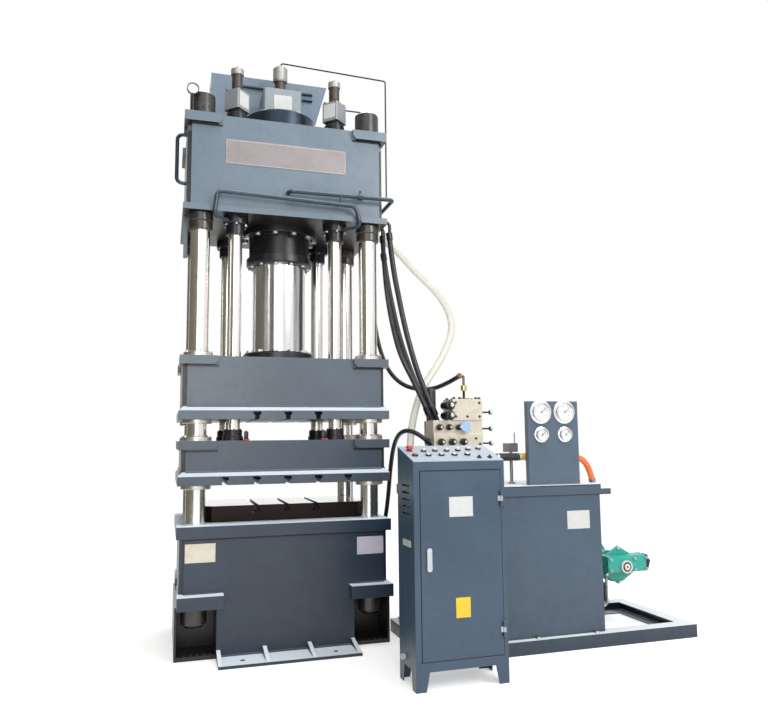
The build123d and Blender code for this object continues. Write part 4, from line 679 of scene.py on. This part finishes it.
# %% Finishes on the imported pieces
finishes = [
    (crown_paint, "crown_frame"), (fill_tank_paint, "prefill_tank"),
    (slide_paint, "upper_slide"), (low_slide_paint, "second_slide"),
    (bed_paint, "bed_frame"), (cabinet_paint, "cabinet_shell"), (door_paint, "cabinet_door"),
    (tank_paint, "oil_tank tank_lid"), (panel_paint, "gauge_panel"),
    (base_paint, "base_frame"), (pipe_paint, "crown_pipes"), (pump_cast, "pump_body"),
    (motor_cast, "motor_frame"), (console_paint, "console_panel"),
    (chrome, "column_front_left column_front_right column_rear_left column_rear_right"),
    (chrome, "side_rods"), (handle_steel, "door_handle"),
    (bush_steel, "upper_slide_bushes second_slide_bushes"), (ram_chrome, "main_ram"),
    (nut_steel, "column_nuts"), (barrel_cast, "main_cylinder_barrel"),
    (black_steel, "main_cylinder_gland side_cylinder_barrels ram_flange rod_flanges"),
    (side_valve_cast, "side_valves"), (prefill_cast, "prefill_valve"),
    (bolt_steel, "frame_bolts upper_slide_bolts second_slide_bolts motor_rotor"),
    (bolster_steel, "bolster_plate"), (manifold_cast, "valve_manifold"),
    (unit_pipe_cast, "power_unit_pipes"), (pale_plastic, "cabinet_equipment"),
    (gauge_cast, "pressure_gauges"),
    (needle_black, "gauge_needle_1 gauge_needle_2 gauge_needle_3 gauge_needle_4"),
    (red_plastic, "emergency_stop_button stop_button"),
    (pale_plastic, "push_button_1 push_button_2 push_button_3 push_button_4"),
    (black_plastic, "selector_switch_1 selector_switch_2")]
for material, names in finishes:
    for name in names.split():
        mesh = nodes[name].data
        mesh.materials.clear()
        mesh.materials.append(material)
clear_hose.data.materials.append(pvc.material)
orange_hose.data.materials.append(orange_rubber)
for piece in black_hoses:
    piece.data.materials.append(black_rubber)
print("dressed", len(nodes), "pieces and", len(routes), "hoses")

# %% [markdown]
# ## Turned and planed small pieces
# Bolts, rings and plates are made as on the real machine: a profile is spun
# round Z, or a cube is stretched and its edges are softened. Each shape is made
# once and stamped wherever it is needed.

# %% Turning, planing and stamping
def kept(shape):
    bmesh.ops.recalc_face_normals(shape, faces=shape.faces)
    return mesh_of(shape, "stamp")


def turned(profile, steps=32):
    shape = bmesh.new()
    line = [shape.verts.new((radius, 0.0, height)) for radius, height in profile]
    edges = [shape.edges.new(pair) for pair in zip(line, line[1:])]
    bmesh.ops.spin(shape, geom=line + edges, axis=(0.0, 0.0, 1.0), cent=(0.0, 0.0, 0.0),
                   dvec=(0.0, 0.0, 0.0), angle=math.tau, steps=steps, use_merge=True)
    bmesh.ops.remove_doubles(shape, verts=shape.verts, dist=1e-6)
    return kept(shape)


def softened(shape, edges, offset):
    bmesh.ops.bevel(shape, geom=edges, offset=offset, offset_type="OFFSET", segments=2,
                    profile=0.5, affect="EDGES", material=-1)
    return kept(shape)


def planed(low, high, edge=0.001):
    low, high = Vector(low), Vector(high)
    shape = bmesh.new()
    bmesh.ops.create_cube(shape, size=1.0)
    bmesh.ops.scale(shape, vec=high - low, verts=shape.verts)
    bmesh.ops.translate(shape, vec=(high + low) / 2, verts=shape.verts)
    return softened(shape, shape.edges[:], edge)


class Built:
    """Shapes gathered into one piece."""
    def __init__(self):
        self.shape = bmesh.new()

    def add(self, stamp, place=(0.0, 0.0, 0.0), turn=Matrix()):
        first = len(self.shape.verts)
        self.shape.from_mesh(stamp)
        self.shape.verts.ensure_lookup_table()
        matrix = Matrix.Translation(Vector(place)) @ turn.to_4x4()
        bmesh.ops.transform(self.shape, matrix=matrix, verts=self.shape.verts[first:])
        return self

    def piece(self, name, material, slot, body="frame"):
        mesh = mesh_of(self.shape, name)
        mesh.materials.append(material)
        for polygon in mesh.polygons:
            polygon.use_smooth = True
        mesh.set_sharp_from_angle(angle=math.radians(32))
        made = linked(name, mesh)
        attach(made, body)
        print(name, "has", len(mesh.polygons), "faces")


to_front, to_rear, to_right = turn_about("X", 90), turn_about("X", -90), turn_about("Y", 90)

# %% Fasteners
def hexagon_head(flats, height):
    shape = bmesh.new()
    bmesh.ops.create_circle(shape, cap_ends=True, segments=6, radius=flats / math.sqrt(3))
    grown = bmesh.ops.extrude_face_region(shape, geom=shape.faces[:])["geom"]
    top = [v for v in grown if isinstance(v, bmesh.types.BMVert)]
    bmesh.ops.translate(shape, vec=(0.0, 0.0, height), verts=top)
    rim = [e for e in shape.edges if all(v in top for v in e.verts)]
    return softened(shape, rim, flats * 0.06)


def socket_head(d, height):
    r, well = d / 2, d * 0.27
    return turned([(0.0, height * 0.4), (well, height * 0.4), (well, height), (r * 0.9, height),
                   (r, height * 0.9), (r, 0.0)], 20)


def dome_head(d, height):
    r = d / 2
    return turned([(0.0, height), (r * 0.5, height * 0.86), (r * 0.86, height * 0.5), (r, 0.0)], 16)


def band(inner, outer, low, high, steps=32):
    """A flat ring."""
    return turned([(inner, low), (outer, low), (outer, high), (inner, high), (inner, low)], steps)


hexagon_16, hexagon_24 = hexagon_head(0.024, 0.01), hexagon_head(0.036, 0.015)
socket_10, socket_16 = socket_head(0.011, 0.008), socket_head(0.024, 0.016)
rivet = dome_head(0.009, 0.0025)
print("fasteners:", len(hexagon_16.polygons), "and", len(socket_16.polygons), "faces each")

# %% [markdown]
# ## Plates without words
# The crown carries a long sheet, and bed, cabinet, tank and valves carry small
# enamelled plates. They stay bare: thin sheet with a pressed border line and, on
# most, a rivet at each corner.

# %% The bare plates
def sheet_plate(name, low, high, material, body="frame", riveted=True, slot="gauge_white",
                turn=Matrix(), place=(0.0, 0.0, 0.0)):
    border, line, relief, inset = 0.008, 0.0015, 0.0007, 0.009
    shape = bmesh.new()
    shape.from_mesh(planed(low, high, 0.0006))
    shape.normal_update()
    shape.faces.ensure_lookup_table()
    face = min(shape.faces, key=lambda one: (one.normal.y, -one.calc_area()))
    for thickness, depth in ((border, 0.0), (line, -relief), (line, relief)):
        bmesh.ops.inset_region(shape, faces=[face], thickness=thickness, depth=depth)
    plate = Built()
    plate.add(kept(shape), place, turn)
    if riveted:
        for x in (low[0] + inset, high[0] - inset):
            for z in (low[2] + inset, high[2] - inset):
                at = turn @ Vector((x, low[1], z)) + Vector(place)
                plate.add(rivet, at, turn @ to_front)
    plate.piece(name, material, slot, body)


sheet_plate("crown_plate", (-0.505, -0.503, 3.796), (0.479, -0.5, 3.999), plate_steel,
            slot="bolt_steel")
sheet_plate("bed_plate_left", (-0.76, -0.5316, 0.706), (-0.54, -0.53, 0.843), cream_paint)
sheet_plate("bed_plate_right", (0.549, -0.5316, 0.7), (0.765, -0.53, 0.836), lilac_paint)
sheet_plate("tank_plate", (2.091, -1.1016, 0.891), (2.29, -1.1, 1.03), white_paint)
sheet_plate("door_plate", (0.883, -1.6516, 1.087), (1.052, -1.65, 1.217), white_paint,
            body="cabinet_door")
sheet_plate("door_yellow_plate", (0.919, -1.6512, 0.44), (1.021, -1.65, 0.568), yellow_paint,
            body="cabinet_door", riveted=False)
sheet_plate("side_plate", (-0.0815, -0.0014, -0.0215), (0.0815, 0.0, 0.0215), white_paint,
            turn=turn_about("Z", -90), place=(0.637, -1.5, 0.9135))
sheet_plate("prefill_plate", (-0.076, -0.1664, 4.44), (0.079, -0.165, 4.59), white_paint,
            riveted=False)
for name, x, angle in (("left_valve_plate", -0.41, 45.0), ("right_valve_plate", 0.41, -45.0)):
    sheet_plate(name, (-0.056, -0.0764, -0.062), (0.056, -0.075, 0.062), white_paint,
                riveted=False, turn=turn_about("Z", angle),
                place=(x, -0.37, 4.376))

# %% [markdown]
# ## Weld seams
# Where a web meets its flange a bead runs the whole length. A bead is a rod with
# ten sides that is half sunk in the corner; its ripples are in its finish, where
# they cost no faces.

# %% Beads along the beams
def bead(piece, start, end, r=0.01):
    start, end = Vector(start), Vector(end)
    run = end - start
    rod = turned([(0.0, 0.0), (r, 0.004), (r, run.length - 0.004), (0.0, run.length)], 10)
    piece.add(rod, start, run.to_track_quat("Z", "Y").to_matrix())


web_end, web_front, bed_front = 0.768, 0.5, 0.53
for owner, weld, body, z in (("crown", crown_weld, "frame", 3.441),
                             ("upper_slide", slide_weld, "upper_slide", 1.863),
                             ("second_slide", slide_weld, "second_slide", 1.367)):
    welds = Built()
    for side in (-1, 1):
        bead(welds, (-web_end, side * web_front, z), (web_end, side * web_front, z))
        bead(welds, (side * 0.8, -0.46, z), (side * 0.8, 0.46, z))
    welds.piece(owner + "_welds", weld, "machine_paint", body)
welds = Built()
for side in (-1, 1):
    y = side * bed_front
    bead(welds, (-web_end, y, 0.88), (web_end, y, 0.88))
    bead(welds, (-0.525, y, 0.022), (0.525, y, 0.022), 0.012)
    for end in (-1, 1):
        bead(welds, (end * 0.525, y, 0.48), (end * web_end, y, 0.48))
welds.piece("bed_welds", bed_weld, "bed_paint")

# %% [markdown]
# ## Gauge dials
# A gauge is a white dial behind glass, with a scale of 270 degrees that opens
# downwards. Its ticks are thin bars and its numbers are text turned into a mesh.
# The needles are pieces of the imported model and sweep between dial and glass.

# %% One dial with its ticks and numbers
def number_mesh(words, size):
    text = bpy.data.curves.new("number", "FONT")
    text.body = words
    text.size = size
    text.align_x = "CENTER"
    text.align_y = "CENTER"
    text.resolution_u = 3
    carrier = bpy.data.objects.new("number", text)
    mesh = bpy.data.meshes.new_from_object(carrier)
    bpy.data.objects.remove(carrier)
    return mesh


def dial(name, centre, r, step):
    """A dial of radius r whose numbers grow by step."""
    face = turned([(0.0, 0.0006), (r, 0.0006), (r, 0.0)], 48)
    Built().add(face, centre, to_front).piece(name + "_dial", dial_paint, "gauge_white")
    marks = Built()
    front = (centre[0], centre[1] - 0.0008, centre[2])
    ticks, per_number, tip = 40, 8, 0.84 * r
    for i in range(ticks + 1):
        numbered = i % per_number == 0
        reach, width = (0.13 * r, 0.014 * r) if numbered else (0.07 * r, 0.008 * r)
        bar = planed((-width, 0.0, tip - reach), (width, 0.0002, tip), 0.00005)
        spread = turn_about("Y", -135.0 + 270.0 * i / ticks)
        marks.add(bar, front, spread)
        if numbered:
            at = Vector(front) + spread @ Vector((0.0, 0.0, 0.57 * r))
            marks.add(number_mesh(str(i // per_number * step), 0.2 * r), at, to_front)
    marks.piece(name + "_scale", dial_ink, "black_plastic")
    arc = Built()
    dash = planed((-0.016 * r, 0.0, 0.86 * r), (0.016 * r, 0.0002, 0.93 * r), 0.00005)
    for i in range(28):
        arc.add(dash, front, turn_about("Y", 20.0 + 1.6 * i))
    arc.piece(name + "_red_arc", red_ink, "red_plastic")


glass = Finish("gauge_glass", (0.9, 0.95, 0.95), Roughness=0.04, IOR=1.5)
sight = glass.node("ShaderNodeLayerWeight", {}, {"Blend": 0.25}, output="Facing")
smear = glass.noise(30.0, 2.0)
glass.give("Alpha", (0.05 + sight * 0.4 + (smear - 0.5) * 0.03).clamped())
gauges = [(x, z, r) for z, r in ((1.805, 0.0715), (1.625, 0.0448)) for x in (1.945, 2.155)]
for i, (x, z, r) in enumerate(gauges, start=1):
    dial(f"gauge_{i}", (x, -1.022, z), r, 5 if i < 3 else 8)
    cover = turned([(0.0, 0.0), (r, 0.0), (r, 0.0018), (0.0, 0.0018)], 48)
    Built().add(cover, (x, -1.0308, z), to_front).piece(f"gauge_{i}_glass", glass.material,
                                                        "gauge_white")
dial("crown_gauge", (-0.766, -0.531, 4.368), 0.0405, 10)

# %% [markdown]
# ## Console devices
# Each button sits in a black collar, and the lamps of the back row have domed
# caps. The console slopes, so all are turned about X and set out along it. The
# pointers of the switches turn with them.

# %% Collars and lamp caps on the sloping console
console_slope = math.atan2(0.095, 0.33)
slope_turn = turn_about("X", math.degrees(console_slope))


def on_console(u, v, lift=0.005):
    return Vector((0.637, -1.65, 1.45)) + slope_turn @ Vector((u, v, lift))


first_x, last_x, console_width = 0.053, 0.093, 0.65
pitch = (console_width - first_x - last_x) / 5.3
button_row = [(first_x + pitch * i, 0.12) for i in range(5)]
switch_row = [(0.557 - 0.67 * pitch, 0.053), (0.571, 0.053)]
stop_at = (0.05, 0.235)
lamp_row = [(first_x + pitch + 0.89 * pitch * i, 0.215 + lift)
            for i, lift in enumerate((0.0, 0.006, 0.0, 0.006, 0.022, 0.038))]


def collar(bore, *rim):
    """A ring whose outside goes through the points of its rim."""
    return turned([(bore, 0.0), *rim, (bore, 0.0)])


button_collar = collar(0.0153, (0.0215, 0.0), (0.0215, 0.009), (0.02, 0.0115), (0.0165, 0.0118),
                       (0.0153, 0.0105))
stop_collar = collar(0.0153, (0.023, 0.0), (0.0222, 0.003), (0.0153, 0.003))
switch_collar = collar(0.0103, (0.017, 0.0), (0.017, 0.006), (0.0155, 0.0075), (0.0103, 0.0075))
lamp_collar = collar(0.0145, (0.0205, 0.0), (0.0205, 0.0078), (0.019, 0.01), (0.0145, 0.0104))
lamp_cap = turned([(0.0, 0.025), (0.006, 0.0243), (0.011, 0.0222), (0.0143, 0.018),
                   (0.0145, 0.01)])
collars, lamps = Built(), Built()
for stamp, row in ((button_collar, button_row), (stop_collar, [stop_at]),
                   (switch_collar, switch_row), (lamp_collar, lamp_row)):
    for u, v in row:
        collars.add(stamp, on_console(u, v), slope_turn)
collars.piece("console_collars", black_plastic, "black_plastic")
for u, v in lamp_row:
    lamps.add(lamp_cap, on_console(u, v), slope_turn)
lamps.piece("console_lamps", pale_plastic, "gauge_white")
pointer = planed((-0.0012, 0.004, 0.019), (0.0012, 0.012, 0.0195), 0.0002)
for i, place in enumerate(switch_row, start=1):
    Built().add(pointer, on_console(*place), slope_turn).piece(
        f"switch_pointer_{i}", white_paint, "gauge_white", f"selector_switch_{i}")
print("console has", len(button_row) + 1, "buttons and", len(lamp_row), "lamps")

# %% [markdown]
# ## Bolts and plugs that the drawing leaves out
# Socket screws clamp the flanges of the rods, four screws hold each valve, and
# the manifold is full of small plugs. The screws of a moving beam ride with it.

# %% Screws of the valves, rods and manifold
def round_row(piece, stamp, centre, pitch_r, count, turn=Matrix(), start=0.5):
    for i in range(count):
        a = math.tau * (i + start) / count
        offset = turn.to_3x3() @ Vector((pitch_r * math.cos(a), pitch_r * math.sin(a), 0.0))
        piece.add(stamp, Vector(centre) + offset, turn)


rod_x, rod_y = 0.41, 0.37
rod_screws = Built()
for x in (-rod_x, rod_x):
    for y in (-rod_y, rod_y):
        round_row(rod_screws, socket_10, (x, y, 1.686), 0.0612, 6)
rod_screws.piece("rod_flange_screws", black_steel, "black_steel", "second_slide")

valve_screws = Built()
for x in (-0.135, 0.135):
    for y in (-0.135, 0.135):
        valve_screws.add(socket_16, (x, y, 4.649))
for x in (-rod_x, rod_x):
    round_row(valve_screws, socket_16, (x, -rod_y, 4.456), 0.082, 4, start=0.0)
valve_screws.piece("valve_screws", black_steel, "black_steel")

stops, stop_feet = Built(), Built()
foot_low, foot_top, stop_top, stop_y = 1.601, 1.613, 1.672, -0.4225
for x in (-0.312, 0.312):
    stops.add(planed((x - 0.016, -0.44, foot_top), (x + 0.016, -0.405, stop_top), 0.003))
    stops.add(socket_10, (x, stop_y, stop_top))
    stop_feet.add(planed((x - 0.024, -0.448, foot_low), (x + 0.024, -0.397, foot_top), 0.003))
stops.piece("stop_blocks", black_steel, "black_steel", "second_slide")
stop_feet.piece("stop_block_feet", red_plastic, "red_plastic", "second_slide")

plugs = Built()
manifold_front, manifold_top = -0.8, 1.915
plug_head = socket_head(0.02, 0.006)
for x, z in ((1.135, 1.452), (1.22, 1.452), (1.47, 1.6), (1.505, 1.555), (1.47, 1.53),
             (1.135, 1.345), (1.225, 1.345), (1.315, 1.345), (1.405, 1.345), (1.3, 1.775),
             (1.3, 1.885), (1.505, 1.775), (1.505, 1.885), (1.4, 1.775)):
    plugs.add(plug_head, (x, manifold_front, z), to_front)
for x in (1.295, 1.345, 1.485, 1.515):
    for y in (-0.775, -0.625):
        plugs.add(socket_16, (x, y, manifold_top))
plugs.piece("manifold_plugs", black_steel, "black_steel")

eyes = Built()
for i in range(3):
    eyes.add(turned([(0.0, 0.0065), (0.009, 0.006), (0.012, 0.0)], 20),
             (1.165 + 0.095 * i, -0.87, 1.574), to_front)
    eyes.add(turned([(0.0, 0.0055), (0.008, 0.005), (0.011, 0.0)], 20),
             (1.158 + 0.082 * i, -0.85, 1.69), to_front)
for z in (1.783, 1.863):
    eyes.add(turned([(0.0, 0.006), (0.012, 0.005), (0.017, 0.0)], 20), (1.235, -0.892, z), to_front)
eyes.piece("manifold_valve_eyes", rim_steel, "zinc_steel")

# %% [markdown]
# ## Pump, motor and frame details
# The pump's control housing has a pale dial with a black ring and a red eye, a
# six-sided plate closes the pump behind it, and a wire guard covers the fan.

# %% Pump dial, screws, fan guard and frame bolts
dial_x, dial_z, pump_x, motor_z = 2.777, 0.526, 2.775, 0.5
dial_ring = band(0.024, 0.041, 0.0, 0.0035)
Built().add(dial_ring, (dial_x, -0.8642, dial_z), to_front).piece(
    "pump_dial_ring", black_plastic, "black_plastic")
dial_eye = turned([(0.0, 0.0035), (0.008, 0.0032), (0.0105, 0.0)], 20)
Built().add(dial_eye, (dial_x, -0.876, dial_z), to_front).piece(
    "pump_dial_eye", red_plastic, "red_plastic")
pump_screws = Built()
for x in (2.632, 2.865, 2.975):
    for z in (0.5, 0.59):
        pump_screws.add(socket_16, (x, -0.85, z), to_front)
round_row(pump_screws, hexagon_16, (pump_x, -0.754, 0.524), 0.138, 6, to_front)
round_row(pump_screws, hexagon_24, (pump_x, -0.322, motor_z), 0.15, 8, to_front)
pump_screws.piece("pump_screws", bolt_steel, "bolt_steel")
Built().add(hexagon_head(0.277, 0.014), (pump_x, -0.74, 0.524), to_front).piece(
    "pump_cover_plate", pump_cast, "pump_paint")

guard = Built()
wire_r = 0.0025
for r in (0.03, 0.06, 0.09, 0.12, 0.15):
    wire = turned([(r - wire_r, 0.0), (r, wire_r), (r + wire_r, 0.0), (r, -wire_r),
                   (r - wire_r, 0.0)], 40)
    guard.add(wire, (pump_x, 0.2555, motor_z), to_rear)
spoke = planed((-wire_r, -wire_r, 0.024), (wire_r, wire_r, 0.152), 0.001)
for i in range(6):
    guard.add(spoke, (pump_x, 0.2515, motor_z), turn_about("Y", 60.0 * i + 15))
guard.piece("motor_fan_guard", black_steel, "black_steel")

feet = Built()
for xs, ys, z in (((2.62, 2.93), (-0.18, 0.06), 0.395),
                  ((1.01, 1.8, 2.3), (-1.128, -0.2), 0.1)):
    for x in xs:
        for y in ys:
            feet.add(hexagon_24, (x, y, z))
feet.piece("power_unit_bolts", bolt_steel, "bolt_steel")

# %% Screws in the open corners of the bed
corner_screws = Built()
for side in (-1, 1):
    for end in (-1, 1):
        for i in range(5):
            corner_screws.add(hexagon_16, (end * (0.56 + 0.048 * i), side * 0.47, 0.03))
corner_screws.piece("bed_corner_screws", black_steel, "black_steel")

# %% [markdown]
# ## Bands on the return line
# Between manifold and gauge panel the return line wears a ribbed black sleeve
# held by clips, so its outline is a comb of small rings.

# %% Ribbed sleeve and clips
line_y, line_z = -0.905, 1.45
sleeve = Built()
rib = turned([(0.027, -0.005), (0.03, -0.004), (0.032, 0.0), (0.03, 0.004),
              (0.027, 0.005)], 28)
for i in range(12):
    sleeve.add(rib, (1.62 + 0.014 * i, line_y, line_z), to_right)
sleeve.piece("return_sleeve", black_rubber, "black_rubber")
clips = Built()
for x in (1.604, 1.796, 1.852):
    clips.add(band(0.0276, 0.031, -0.006, 0.006, 28), (x, line_y, line_z), to_right)
clips.piece("return_clips", rim_steel, "bolt_steel")

# %% [markdown]
# ## Floor and cards
# The floor only has to be pale and keep the machine's soft shadow, so it is
# part plain matt and part glow. The glow is seen by the camera, in gloss and
# through clear things, but lights nothing. The cards are dull dark cloth.

# %% Floor and card finishes
ground = Finish("studio_floor", (0.86, 0.86, 0.86), Roughness=0.9)
ways = ground.node("ShaderNodeLightPath", output="Is Camera Ray")
gloss = ground.node("ShaderNodeLightPath", output="Is Glossy Ray")
clear = ground.node("ShaderNodeLightPath", output="Is Transmission Ray")
glow = (ways + gloss + clear).clamped()
speckle = ground.noise(3.0, 3.0)
ground.give("Base Color", ground.mix(speckle, (0.84, 0.84, 0.84), (0.88, 0.88, 0.88)))
ground.shader.inputs["Emission Color"].default_value = (1.0, 1.0, 1.0, 1.0)
ground.give("Emission Strength", glow * 0.42)
floor.data.materials.append(ground.material)
for piece, shade in zip(cards, ((0.155, 0.14, 0.1), (0.06, 0.058, 0.052),
                                (0.02, 0.02, 0.02))):
    cloth = Finish(piece.name + "_cloth", shade, Roughness=1.0)
    cloth.give("Roughness", cloth.noise(2.0) * 0.2 + 0.8)
    piece.data.materials.append(cloth.material)
print("floor and", len(cards), "cards are dressed")
